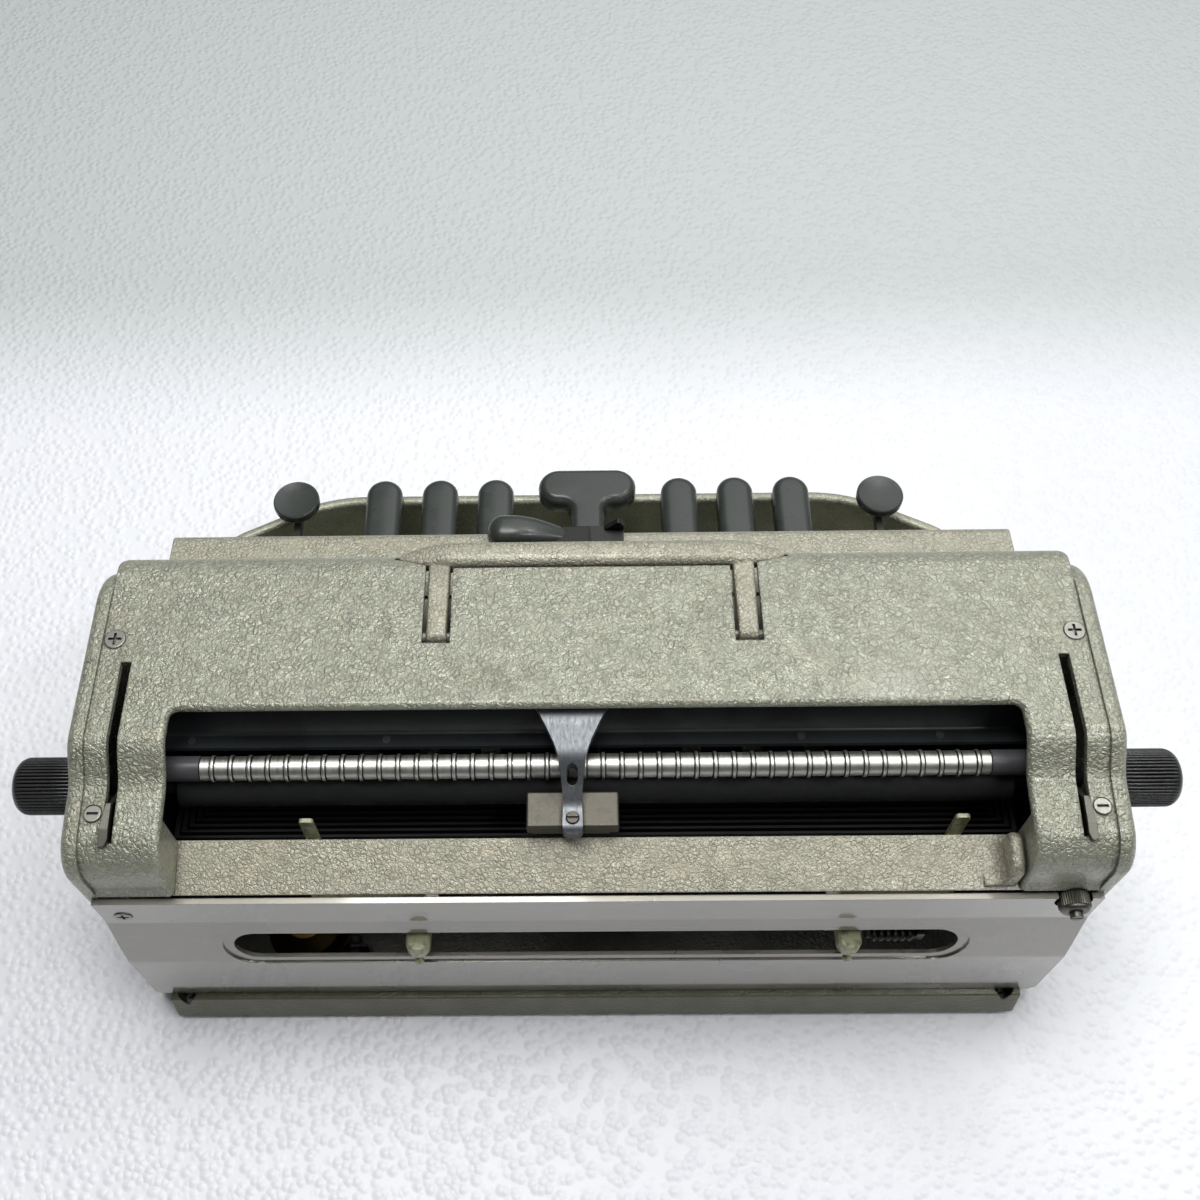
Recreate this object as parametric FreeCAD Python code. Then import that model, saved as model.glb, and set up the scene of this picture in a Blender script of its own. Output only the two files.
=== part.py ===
import FreeCAD, Part
import math
import os

from FreeCAD import Vector

# Six-key manual braille writer, in millimetres.
# +X is the user's right, -Y the key side (front), +Z up.  The origin is on the
# table, under the middle of the machine's bounding box.

# ---------------------------------------------------------------- case
SIDE_OUT = 175.0         # outer face of the side castings
SIDE_IN = 169.0          # joint between side castings and the covers
SIDE_WEB = 3.0           # thickness of a side casting inside its rim
SIDE_RIM = 4.5           # width of the rim seen from the side
RIM_ROUND = 3.4          # rounding of the rim's outer edge
SHOULDER_X = 162.6       # inner edge of the side castings' front shoulders
TOP_Z = 146.2            # top of the side castings
COVER_DROP = 0.9         # how far the covers lie below the rims
WALL = 2.6               # wall of the cast top cover
PANEL = 2.2              # wall of the rear and front panels
FLOOR_Z = 3.0            # underside of the base tray
FLOOR = 4.0              # thickness of its floor
REAR_STRIP_Y = 112.5     # rear face of the base's rear strip, at its foot
REAR_STRIP_Z = 17.4
STRIP_DRAFT = 2.6        # how far the strip's top lies in front of its foot
STRIP_HALF = 165.6
STRIP_SCREW = (159.5, 106.6)
LIP_Z = 42.0             # top of the tray's front lip
LIP = 5.0                # thickness of the lip
LIP_Y = -115.5           # front face of the lip

# Outline of a side casting seen from the side: (Y, Z, corner radius), from the
# rear foot over the hump and the flat top to the front foot.
SIDE_OUTLINE = [
    (105.0, 3.2, 6.0),
    (104.7, 56.0, 14.0),
    (99.5, 87.5, 8.0),
    (100.1, 133.4, 14.0),
    (71.8, 137.5, 11.0),
    (60.6, TOP_Z, 11.0),
    (-4.0, TOP_Z, 20.0),
    (-37.0, 106.0, 40.0),
    (-57.0, 64.0, 20.0),
    (-73.0, 47.0, 9.0),
    (-76.4, 22.0, 8.0),
    (-75.0, 3.2, 3.0),
]

# ---------------------------------------------------------------- paper opening
OPEN_X = 142.5           # half width of the opening in the top cover
OPEN_Y = 48.0            # its front edge
OPEN_CORNER = 3.0
HUMP_WALL_Y = 82.6       # where the inner walls of the rear humps start
REST_FRONT = (81.7, 112.2)
REST_REAR = (99.4, 107.0)
RELEASE_SLOT_X = 159.6
RELEASE_SLOT = 3.7       # width of the paper-release slots
RELEASE_SLOT_Y = (30.0, 91.0)

COVER_CORNER = 8.0       # rounding of the cover's front corners, seen from above
ARM_X = 54.0             # middle of each handle arm
ARM_SLOT = 4.9           # half width of the slots they fold into
ARM_SLOT_END = 23.6

# ---------------------------------------------------------------- rear panel
REAR_TOP = 105.4
REAR_HALF = 171.2        # the panel laps over the rear edges of the side castings
SLOT_HALF = 130.2        # margin slot
SLOT_Z = (58.9, 76.7)
SLOT_RIM = 4.0           # width of the sunk rim round the slot
SLOT_RIM_DEPTH = 0.7
THUMB_X = -161.5
THUMB_Z = 102.8

# ---------------------------------------------------------------- shafts (Y, Z)
FEED_AXIS = (61.0, 112.0)
DRUM_R = 7.5
FEED_R = 3.0
KNOB_END = 201.8
ROLLER_AXIS = (60.5, 124.35)
ROLLER_R = 4.6           # over the rings
ROLLER_GROOVE_R = 4.15
RING = 0.55              # half width of a ring
CELL = 6.35              # pitch of braille cells
CELLS = 42
RAIL_AXES = [(14.0, 122.0), (14.0, 100.0)]
RAIL_R = 4.0
KEY_AXIS = (15.0, 38.0)
KEY_R = 4.0
BAIL_AXIS = (26.0, 84.0)
BAIL_R = 3.0
RELEASE_AXIS = (52.8, 118.0)
HANDLE_AXIS = (19.4, 142.0)
MARGIN_AXIS = (93.0, 68.0)
MARGIN_R = 3.5
FIT = 0.08               # radial clearance of running fits
SEAT = 0.05              # radial clearance of fixed shafts in their holes
FRAME_X = (152.5, 155.0) # inner frames that carry the shafts

# ---------------------------------------------------------------- keys
DOT_KEY_X = {3: -91.0, 2: -66.0, 1: -41.0, 4: 41.0, 5: 66.0, 6: 91.0}
ROUND_KEY_X = 130.0
CAP_WIDTH = 16.0
CAP_TIP_Y = -112.0
CAP_REAR_Y = -63.0
CAP_Z = (51.0, 60.0)
SPACE_HEAD = (21.8, -116.6, -98.2)  # half width, front, rear
SPACE_STEM = 7.5
LEVER_T = 3.0            # thickness of the steel key levers
SPRING_TOP = 36.2        # springs stop here, clear of a pressed key's lever

# ---------------------------------------------------------------- bails
BAIL_FIRST_Y = 62.0      # nearest blade; the other five follow behind it
BAIL_PITCH = 2.2
BAIL_T = 1.0
BAIL_ARM_X = 136.5       # arms of the innermost bail
BAIL_ARM_PITCH = 2.4
BAIL_ARM_T = 1.6
BAIL_Z = (84.0, 94.0)
TAB_Z = 50.3             # lower end of the tabs that the keys lift

# ---------------------------------------------------------------- carriage
HEAD_X = 7.4             # middle of the embossing head at rest
BLOCK_Y = (68.3, 81.4)
BLOCK_Z = (116.0, 121.0)
BLOCK_HALF = 15.75
YOKE_T = 2.6
LEVER_PIVOT = (3.0, 128.2)

# ---------------------------------------------------------------- margins
STOP_X = {"right": 63.5, "left": -91.0}
FINGER_X = {"right": 99.6, "left": -126.6}
FINGER_Y = (74.0, 75.5)
FINGER_W = 4.8


# The working frame's Y = 0 is not quite half way along the machine, so every
# piece is moved by this much when it is written.
MIDDLE_Y = (REAR_STRIP_Y + SPACE_HEAD[1]) / 2


# ================================================================ helpers
def place(plane, u, v, w):
    """A point of a plane: yz lies at X=w, xy at Z=w, xz at Y=w."""
    if plane == "yz":
        return Vector(w, u, v)
    if plane == "xy":
        return Vector(u, v, w)
    return Vector(u, w, v)


def path_edges(points, plane, w, closed):
    """Straight runs joined by tangent arcs; each point is (u, v, radius)."""
    count = len(points)
    ends = []
    for i, (u, v, radius) in enumerate(points):
        here = Vector(u, v, 0)
        at_end = not closed and i in (0, count - 1)
        if radius <= 0 or at_end:
            ends.append((here, None, here))
            continue
        before = points[i - 1]
        after = points[(i + 1) % count]
        back = (Vector(before[0], before[1], 0) - here).normalize()
        ahead = (Vector(after[0], after[1], 0) - here).normalize()
        half = back.getAngle(ahead) / 2
        run = radius / math.tan(half)
        middle = (back + ahead).normalize() * (radius / math.sin(half) - radius)
        ends.append((here + back * run, here + middle, here + ahead * run))
    edges = []
    last = count if closed else count - 1
    for i in range(count):
        start, middle, stop = ends[i]
        if middle is not None:
            corner = [place(plane, p.x, p.y, w) for p in (start, middle, stop)]
            edges.append(Part.Arc(*corner).toShape())
        if i < last:
            following = ends[(i + 1) % count][0]
            a = place(plane, stop.x, stop.y, w)
            b = place(plane, following.x, following.y, w)
            if a.distanceToPoint(b) > 1e-6:
                edges.append(Part.LineSegment(a, b).toShape())
    return edges


def outline(points, plane="yz", w=0.0):
    """Face inside a closed rounded outline."""
    full = [p if len(p) == 3 else (p[0], p[1], 0.0) for p in points]
    return Part.Face(Part.Wire(Part.__sortEdges__(path_edges(full, plane, w, True))))


def across(points, x0, x1):
    """Prism of a YZ outline between two X positions."""
    return outline(points, "yz", x0).extrude(Vector(x1 - x0, 0, 0))


def upright(points, z0, z1):
    """Prism of an XY outline between two heights."""
    return outline(points, "xy", z0).extrude(Vector(0, 0, z1 - z0))


def through(points, y0, y1):
    """Prism of an XZ outline between two depths."""
    return outline(points, "xz", y0).extrude(Vector(0, y1 - y0, 0))


def box(x, y, z):
    """Box from three (low, high) pairs."""
    size = (x[1] - x[0], y[1] - y[0], z[1] - z[0])
    return Part.makeBox(*size, Vector(x[0], y[0], z[0]))


def rod(axis, radius, x0, x1):
    """Round bar along X on a (Y, Z) axis."""
    start = Vector(x0, axis[0], axis[1])
    return Part.makeCylinder(radius, x1 - x0, start, Vector(1, 0, 0))


def pin(x, y, z0, z1, radius):
    """Round bar along Z."""
    return Part.makeCylinder(radius, z1 - z0, Vector(x, y, z0), Vector(0, 0, 1))


def stud(x, z, y0, y1, radius):
    """Round bar along Y."""
    return Part.makeCylinder(radius, y1 - y0, Vector(x, y0, z), Vector(0, 1, 0))


def both(shape):
    """The right-hand piece and its mirror image on the left."""
    return [shape, shape.mirror(Vector(0, 0, 0), Vector(1, 0, 0))]


def shifted(points, distance):
    """An open path moved sideways, to its left for a positive distance."""
    lines = []
    for a, b in zip(points, points[1:]):
        length = math.hypot(b[0] - a[0], b[1] - a[1])
        nu = -(b[1] - a[1]) / length * distance
        nv = (b[0] - a[0]) / length * distance
        lines.append(((a[0] + nu, a[1] + nv), (b[0] + nu, b[1] + nv)))
    moved = [(*lines[0][0], 0.0)]
    for (a, b), (c, d), point in zip(lines, lines[1:], points[1:]):
        du, dv = b[0] - a[0], b[1] - a[1]
        eu, ev = d[0] - c[0], d[1] - c[1]
        cross = du * ev - dv * eu
        t = ((c[0] - a[0]) * ev - (c[1] - a[1]) * eu) / cross
        change = -distance if cross > 0 else distance
        radius = max(point[2] + change, 0.3) if point[2] > 0 else 0.0
        moved.append((a[0] + du * t, a[1] + dv * t, radius))
    moved.append((*lines[-1][1], 0.0))
    return moved


def sheet(points, thickness, x0, x1):
    """Bent plate: an open YZ path thickened to its right, run along X."""
    full = [p if len(p) == 3 else (p[0], p[1], 0.0) for p in points]
    inner = shifted(full, -thickness)
    outer_edges = path_edges(full, "yz", x0, False)
    inner_edges = path_edges(inner, "yz", x0, False)
    caps = []
    for a, b in ((full[0], inner[0]), (full[-1], inner[-1])):
        start = Vector(x0, a[0], a[1])
        stop = Vector(x0, b[0], b[1])
        caps.append(Part.LineSegment(start, stop).toShape())
    edges = Part.__sortEdges__(outer_edges + inner_edges + caps)
    return Part.Face(Part.Wire(edges)).extrude(Vector(x1 - x0, 0, 0))


def fused(shapes):
    """One clean solid out of touching shapes."""
    whole = shapes[0].fuse(list(shapes[1:]))
    return whole.removeSplitter()


def rounded(shape, radius, choose):
    """Fillet of the edges for which choose(edge) is true."""
    edges = [e for e in shape.Edges if choose(e)]
    return shape.makeFillet(radius, edges)


def obround(half, low, high):
    """Corner points of a slot with half-round ends, in XZ."""
    radius = (high - low) / 2 - 0.001
    return [(half, low, radius), (half, high, radius), (-half, high, radius), (-half, low, radius)]


# ================================================================ case
def side_plate():
    """Right side casting: a web with a rounded rim, and holes for the feed shaft."""
    blank = across(SIDE_OUTLINE, SIDE_IN, SIDE_OUT)
    blank = rounded(blank, RIM_ROUND, lambda e: abs(e.BoundBox.XMin - SIDE_OUT) < 1e-6)
    pocket = outline(SIDE_OUTLINE, "yz", SIDE_IN - 1.0)
    pocket = pocket.makeOffset2D(-SIDE_RIM).extrude(Vector(SIDE_OUT - SIDE_IN + 1.0 - SIDE_WEB, 0, 0))
    plate = blank.cut(pocket)
    boss = rod(FEED_AXIS, 7.0, SIDE_IN, SIDE_OUT - SIDE_WEB)
    shoulder = across(SIDE_OUTLINE, SHOULDER_X, SIDE_IN)
    hollow = outline(SIDE_OUTLINE, "yz", SHOULDER_X).makeOffset2D(-SIDE_WEB).extrude(Vector(SIDE_IN, 0, 0))
    front = box((SHOULDER_X, SIDE_IN), (-71.0, -18.2), (50.0, 138.0))
    plate = fused([plate, boss, shoulder.cut(hollow).common(front)])
    return plate.cut(rod(FEED_AXIS, FEED_R + FIT, SIDE_IN - 20, SIDE_OUT + 1))


def left_side_plate(right):
    """Mirror of the right casting, with the lug that takes the thumb nut's screw."""
    plate = right.mirror(Vector(0, 0, 0), Vector(1, 0, 0))
    lug = box((-SIDE_IN - 0.5, -156.0), (88.5, 98.3), (97.4, 105.0))
    plate = fused([plate, lug])
    return plate.cut(stud(THUMB_X, THUMB_Z, 80, 120, 2.2 + SEAT))


COVER_PATH = [
    (-17.6, 133.5, 0),
    (-14.6, TOP_Z - COVER_DROP, 11.0),
    (60.4, TOP_Z - COVER_DROP, 11.0),
    (71.4, 136.6, 11.0),
    (98.9, 132.4, 13.0),
    (98.9, 111.0, 3.0),
    (100.0, 107.6, 0),
]


def closed_section(path, bottom):
    """Outline of a cover path filled down to a level."""
    return path + [(path[-1][0], bottom, 0), (path[0][0], bottom, 0)]


def handle_leaf(grow):
    """Plan outline of the handle bar, pointed at both ends."""
    tip = 70.6 + grow * 2.0
    front = -18.2 - grow
    rear = -7.7 + grow
    middle = -12.6
    return [
        (tip, middle, 0.6), (54.0 + grow, rear, 16.0), (-54.0 - grow, rear, 16.0),
        (-tip, middle, 0.6), (-54.0 - grow, front, 16.0), (54.0 + grow, front, 16.0),
    ]


def top_cover():
    """Cast shell: paper opening, release slots, handle recess and an arch over the nut."""
    outer = across(closed_section(COVER_PATH, 100.0), -SIDE_IN, SIDE_IN)
    front_corners = [(SIDE_IN, 110.0, 0), (SIDE_IN, COVER_PATH[0][0], COVER_CORNER)]
    outer = outer.common(upright(mirrored_outline(front_corners), 90.0, 160.0))
    notch_points = [
        (OPEN_X, OPEN_Y, OPEN_CORNER), (OPEN_X, 130.0, 0),
        (-OPEN_X, 130.0, 0), (-OPEN_X, OPEN_Y, OPEN_CORNER),
    ]
    outer = outer.cut(upright(notch_points, 90.0, 160.0))

    def along_opening(edge):
        middle = edge.BoundBox.Center
        on_side = abs(abs(middle.x) - OPEN_X) < 1e-3 and edge.BoundBox.XLength < 1e-3
        return on_side and middle.z > 108.5 and middle.y < 98.5

    outer = rounded(outer, 2.0, along_opening)
    inner_path = shifted(COVER_PATH, -WALL)
    inner = across(closed_section(inner_path, 90.0), -SIDE_IN - 1, SIDE_IN + 1)
    cheeks = both(box((SIDE_IN - WALL, SIDE_IN), (-30.0, 6.0), (90.0, 160.0)))
    corner_room = [(SIDE_IN - WALL, 110.0, 0), (SIDE_IN - WALL, COVER_PATH[0][0] + WALL, COVER_CORNER - WALL)]
    inner = inner.cut(cheeks)
    front_room = upright(mirrored_outline(corner_room), 80.0, 160.0)
    inner = inner.common(front_room.fuse(box((-200, 200), (6.0, 130.0), (80.0, 160.0))))
    walls = box((-OPEN_X - WALL, OPEN_X + WALL), (HUMP_WALL_Y, 130.0), (90.0, 160.0))
    shell = outer.cut(inner.cut(walls))
    below = box((-200, 200), (-60, 150), (80.0, 107.6))
    front_part = box((-200, 200), (-60, -5), (80.0, 133.5))
    rest_line = [(70.0, 115.9), (110.0, 104.2), (110.0, 80.0), (70.0, 80.0)]
    under_rest = across(rest_line, -OPEN_X - 8.0, OPEN_X + 8.0)
    shell = shell.cut([below, front_part, under_rest])
    half = RELEASE_SLOT / 2
    for side in (-1, 1):
        x = side * RELEASE_SLOT_X
        shell = shell.cut(box((x - half, x + half), RELEASE_SLOT_Y, (115.0, 160.0)))
        arm = side * ARM_X
        slot = (arm - ARM_SLOT, arm + ARM_SLOT)
        shell = shell.cut(box(slot, (-20.0, ARM_SLOT_END), (120.0, 160.0)))
    shell = shell.cut(upright(handle_leaf(0.6), 120.0, 160.0))
    for side in (-1, 1):
        for end in (-1, 1):
            x = side * ARM_X + end * 6.8
            lug = box((x - 1.5, x + 1.5), (15.6, 23.2), (138.4, TOP_Z - COVER_DROP - WALL + 0.2))
            shell = shell.fuse(lug)
        shell = shell.cut(rod(HANDLE_AXIS, 1.6 + SEAT, side * ARM_X - 10, side * ARM_X + 10))
    shell = shell.cut(stud(THUMB_X, THUMB_Z, 97.0, 104.0, 6.0))
    for x, y, z, radius in SCREWS:
        shell = shell.cut(pin(x, y, z - 8, z + 3, radius / 2 + SEAT))
        shell = shell.cut(pin(x, y, z - 1.4, z + 5, radius + SEAT))
    return shell.removeSplitter()


# Screw heads on the cover: X, Y, Z of the surface, head radius.
SCREWS = [
    (165.0, 21.0, TOP_Z - COVER_DROP, 3.7),
    (-165.0, 21.0, TOP_Z - COVER_DROP, 3.7),
    (165.1, 81.3, 135.0, 3.0),
    (-165.1, 81.3, 135.0, 3.0),
]


REAR_SCREW = (163.4, 102.0, 94.0)


def screw_up(x, y, z, radius, cross):
    """Screw with its head up: a low head with a driver recess, and a shank."""
    head = pin(x, y, z - 1.4, z + 0.5, radius)
    head = rounded(head, 0.4, lambda e: e.BoundBox.ZMin > z + 0.4)
    shank = pin(x, y, z - 7.0, z - 1.4, radius / 2)
    length = radius * 0.62
    cuts = [box((x - length, x + length), (y - 0.45, y + 0.45), (z - 0.5, z + 1))]
    if cross:
        cuts.append(box((x - 0.45, x + 0.45), (y - length, y + length), (z - 0.5, z + 1)))
    return fused([head, shank]).cut(cuts)


def case_screws():
    """Four cover screws, the rear panel's screw and the two in the base strip."""
    screws = [screw_up(x, y, z, radius, radius > 3.2) for x, y, z, radius in SCREWS]
    flat = screw_up(0.0, 0.0, 0.0, 3.2, True)
    flat.rotate(Vector(0, 0, 0), Vector(1, 0, 0), -90)
    flat.translate(Vector(*REAR_SCREW))
    screws.append(flat)
    for x in (-STRIP_SCREW[0], STRIP_SCREW[0]):
        screws.append(screw_up(x, STRIP_SCREW[1], 8.0, 2.8, True))
    return Part.makeCompound(screws)


STOP_RIB = (-142.3, -137.4)  # paper-stop rib beside the left hump


def reading_rest():
    """Sloped rest behind the roller, with the rounded stop for the paper's edge."""
    plate = sheet([REST_FRONT, REST_REAR], PANEL, -OPEN_X - 7.0, OPEN_X + 7.0)
    lip = box((-OPEN_X - 7, OPEN_X + 7), (REST_FRONT[0], REST_FRONT[0] + 1.6), (104.0, 111.0))
    rib_path = [(83.6, 105.0), (83.6, 123.0, 4.0), (98.4, 120.0, 5.0), (98.4, 105.0)]
    rib = across(rib_path, *STOP_RIB)
    rib = rounded(rib, 2.1, lambda e: e.BoundBox.ZMin > 110.2 and e.BoundBox.XLength < 1e-6)
    root = STOP_RIB[1]
    cove = through([(root - 1.0, 104.0), (root - 1.0, 117.0), (root + 0.6, 110.6, 5.0), (root + 6.4, 108.6),
                    (root + 6.4, 104.0)], 84.6, 98.4)
    under = across([(80, 90), (80, REST_FRONT[1] - 0.6), (101, REST_REAR[1] - 1.1), (101, 90)], -145, -125)
    rest = fused([plate, lip, rib.cut(under), cove.cut(under)])
    brackets = [box((x, x + 2.0), (84.0, 97.0), (97.0, 105.6)) for x in (-149.0, 147.0)]
    ears = both(box((147.0, FRAME_X[0]), (84.0, 95.0), (97.0, 99.0)))
    return fused([rest] + brackets + ears)


REAR_PATH = [(102.0, REAR_TOP, 0), (102.0, 86.5, 8.0), (107.0, 57.0, 14.0), (107.4, REAR_STRIP_Z + 0.6, 0)]


def rear_panel():
    """Smooth rear cover with the sunk rim of the margin slot and a notch for the nut."""
    panel = sheet(REAR_PATH, PANEL, -REAR_HALF, REAR_HALF)
    low, high = REAR_PATH[-1][1] - 1.0, REAR_TOP + 1.0
    corners = [(-REAR_HALF, low + 1.0, 3.0), (-REAR_HALF, high, 0), (REAR_HALF, high, 0), (REAR_HALF, low + 1.0, 3.0)]
    panel = panel.common(through(corners, 80.0, 120.0))
    slot = through(obround(SLOT_HALF, *SLOT_Z), 90.0, 120.0)
    floor = sheet(shifted(REAR_PATH, -SLOT_RIM_DEPTH), PANEL, -REAR_HALF, REAR_HALF)
    wide_z = (SLOT_Z[0] - SLOT_RIM, SLOT_Z[1] + SLOT_RIM)
    rim = through(obround(SLOT_HALF + SLOT_RIM, *wide_z), 90.0, 120.0).cut(floor)
    rim = rim.common(box((-150, 150), (100.0, 120.0), (40.0, 100.0)))
    notch = stud(THUMB_X, THUMB_Z, 90, 120, 6.2)
    hole = stud(REAR_SCREW[0], REAR_SCREW[2], 90, 120, 1.6 + SEAT)
    head = stud(REAR_SCREW[0], REAR_SCREW[2], 100.6, 110, 3.2 + SEAT)
    return panel.cut([slot, rim, notch, hole, head])


def thumb_nut():
    """Knurled nut and the slotted screw it runs on."""
    radius, teeth = 5.4, 40
    points = []
    for i in range(2 * teeth):
        reach = radius if i % 2 else radius - 0.3
        angle = math.pi * i / teeth
        points.append((THUMB_X + reach * math.cos(angle), THUMB_Z + reach * math.sin(angle)))
    nut = through(points, 99.8, 104.4)
    collar = stud(THUMB_X, THUMB_Z, 98.6, 99.8, 4.6)
    dome = stud(THUMB_X, THUMB_Z, 104.4, 106.0, 5.0)
    dome = rounded(dome, 1.5, lambda e: e.BoundBox.YMin > 105.9)
    nut = fused([nut, collar, dome]).cut(stud(THUMB_X, THUMB_Z, 90, 120, 2.2 + SEAT))
    screw = stud(THUMB_X, THUMB_Z, 90.0, 108.0, 2.2)
    slit = box((THUMB_X - 3, THUMB_X + 3), (107.0, 109.0), (THUMB_Z - 0.35, THUMB_Z + 0.35))
    return Part.makeCompound([nut, screw.cut(slit)])


FRONT_PATH = [(-61.0, 67.5, 0), (-47.4, 98.0, 30.0), (-39.0, 120.8, 4.0), (-10.0, 122.2, 0)]


FRONT_HALF = 159.8


def front_panel():
    """Front cover: a sloped face that turns into a ledge under the carriage lever."""
    half = FRONT_HALF
    panel = sheet(FRONT_PATH, PANEL, -half, half)
    inner = shifted(FRONT_PATH, -0.6)
    end_points = inner + [(-10.0, 100.0, 0), (-44.0, 67.5, 0)]
    ends = [across(end_points, half - PANEL, half), across(end_points, -half, -half + PANEL)]
    whole = fused([panel] + ends)
    plan = [(half, -8.0, 0), (half, -41.6, 3.4)]
    wide = upright(mirrored_outline(plan), 104.0, 130.0)
    return whole.common(wide.fuse(box((-half, half), (-70.0, -8.0), (60.0, 104.5))))


TRAY_OUTLINE = [
    (STRIP_HALF, 108.0, 3.0), (STRIP_HALF, 102.0, 0), (SIDE_IN - 0.05, 99.0, 0),
    (SIDE_IN - 0.05, -76.8, 0), (SIDE_OUT - 1.0, -76.8, 3.0),
    (161.0, -94.0, 22.0), (119.0, LIP_Y, 70.0),
]


def mirrored_outline(half):
    """Whole plan outline from its right-hand half."""
    return half + [(-x, y, r) for x, y, r in reversed(half)]


def base_tray():
    """Cast tray: floor, rear strip with screw recesses, front lip that guards the keys."""
    whole = mirrored_outline(TRAY_OUTLINE)
    floor = upright(whole, FLOOR_Z, FLOOR_Z + FLOOR)
    skirt = outline(whole, "xy", FLOOR_Z)
    wall = skirt.extrude(Vector(0, 0, LIP_Z - FLOOR_Z))
    wall = wall.common(box((-200, 200), (-130.0, -76.8), (0, 60)))
    hollow = skirt.makeOffset2D(-LIP).extrude(Vector(0, 0, 60))
    hollow.translate(Vector(0, 0, FLOOR))
    wall = wall.cut([hollow, box((-200, 200), (-82.0, -60.0), (FLOOR_Z + FLOOR, 60))])
    wall = rounded(wall, 2.2, lambda e: e.BoundBox.ZMin > LIP_Z - 0.01 and e.BoundBox.XLength > 4)
    top_y = REAR_STRIP_Y - STRIP_DRAFT
    section = [(103.0, FLOOR_Z), (103.0, REAR_STRIP_Z), (top_y, REAR_STRIP_Z, 0.8), (REAR_STRIP_Y, FLOOR_Z, 0)]
    strip = across(section, -STRIP_HALF, STRIP_HALF)
    face = [(STRIP_HALF, 30.0, 0), (STRIP_HALF, FLOOR_Z, 1.5)]
    strip = strip.common(through(mirrored_outline(face), 90.0, 120.0))
    tray = fused([floor, wall, strip])
    for x in (-STRIP_SCREW[0], STRIP_SCREW[0]):
        tray = tray.cut(pin(x, STRIP_SCREW[1], 6.6, 20.0, 3.9))
        tray = tray.cut(pin(x, STRIP_SCREW[1], 0.0, 20.0, 1.4 + SEAT))
    return tray


def rubber_feet():
    """Four screwed feet under the tray."""
    feet = []
    for x in (-148.0, 148.0):
        for y in (-68.0, 92.0):
            foot = Part.makeCone(7.5, 9.0, FLOOR_Z, Vector(x, y, 0))
            feet.append(foot.cut(pin(x, y, -1.0, 1.4, 3.0)))
    return Part.makeCompound(feet)


FRAME_OUTLINE = [
    (2.0, 7.0, 2.0), (2.0, 134.0, 8.0), (55.0, 136.5, 8.0), (68.5, 129.0, 4.0), (68.5, 104.0, 6.0),
    (80.0, 98.0, 5.0), (98.5, 98.0, 3.0), (98.5, 7.0, 2.0),
]


def frame_plate():
    """Right inner frame: a pressed plate that carries every shaft between its holes."""
    x0, x1 = FRAME_X
    plate = across(FRAME_OUTLINE, x0, x1)
    foot = box((x1 - 0.5, 163.0), (8.0, 92.0), (FLOOR_Z + FLOOR, FLOOR_Z + FLOOR + 2.5))
    holes = [rod(axis, RAIL_R + SEAT, x0 - 5, x1 + 5) for axis in RAIL_AXES]
    holes.append(rod(KEY_AXIS, KEY_R + SEAT, x0 - 5, x1 + 5))
    holes.append(rod(BAIL_AXIS, BAIL_R + SEAT, x0 - 5, x1 + 5))
    holes.append(rod(FEED_AXIS, FEED_R + FIT, x0 - 5, x1 + 5))
    holes.append(rod(MARGIN_AXIS, MARGIN_R + SEAT, x0 - 5, x1 + 5))
    windows = []
    for y in (34.0, 62.0):
        windows.append(across([(y, 20, 6), (y, 58, 6), (y + 22, 54, 6), (y + 22, 20, 6)], x0 - 5, x1 + 5))
    post = rod(RELEASE_AXIS, 2.4, x1 - 0.5, 163.0)
    head = rod(RELEASE_AXIS, 4.0, 162.0, 163.4)
    return fused([plate, foot, post, head]).cut(holes + windows)


def paper_guide():
    """Dark curved plate and ledge in front of the roller, with its small studs."""
    path = [(33.0, 134.0, 0), (45.6, 119.6, 3.0), (52.4, 121.6, 0)]
    guide = sheet(path, -1.4, -FRAME_X[0], FRAME_X[0])
    studs = []
    for x in (-120.0, -72.0, 72.0, 140.0):
        studs.append(pin(x, 49.0, 119.8, 122.6, 1.5))
    return fused([guide] + studs)


# ================================================================ fixed mechanism
def carriage_rails():
    """Two ground rods that the carriage runs on."""
    return Part.makeCompound([rod(axis, RAIL_R, -158.0, 158.0) for axis in RAIL_AXES])


def escapement_rack():
    """Toothed bar, one tooth for each cell."""
    half = CELL * CELLS / 2
    points = [(-FRAME_X[0], 104.0), (-FRAME_X[0], 110.0), (-half, 110.0)]
    for i in range(CELLS):
        x = -half + i * CELL
        points += [(x + 0.6, 113.5), (x + CELL - 0.4, 110.0)]
    points += [(half + 0.2, 110.0), (FRAME_X[0], 110.0), (FRAME_X[0], 104.0)]
    bar = through(points, 2.6, 5.6)
    ends = [box((x, x + 5.0), (2.6, 5.6), (104.0, 110.0)) for x in (-FRAME_X[0], FRAME_X[0] - 5)]
    return fused([bar] + ends)


def coil(x, y, z0, z1, radius, wire, turns):
    """Spring as a corrugated tube: one half-round ridge for each turn."""
    pitch = (z1 - z0) / turns
    points = [(radius - wire, z0)]
    for i in range(turns):
        z = z0 + i * pitch
        points += [(radius, z + pitch * 0.25), (radius, z + pitch * 0.5)]
        points.append((radius - wire * 0.6, z + pitch))
    points.append((radius - wire, z1))
    wire_points = [Vector(r, 0, z) for r, z in points]
    wire_points.append(wire_points[0])
    ring = Part.Face(Part.makePolygon(wire_points)).revolve(Vector(0, 0, 0), Vector(0, 0, 1), 360)
    ring.translate(Vector(x, y, 0))
    return ring


def key_springs():
    """Compression springs that lift the keys, standing on the tray floor."""
    places = list(DOT_KEY_X.values()) + [0.0, -ROUND_KEY_X, ROUND_KEY_X]
    coils = [coil(x, -30.0, FLOOR_Z + FLOOR, SPRING_TOP, 4.5, 1.2, 5) for x in places]
    return Part.makeCompound(coils)


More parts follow.
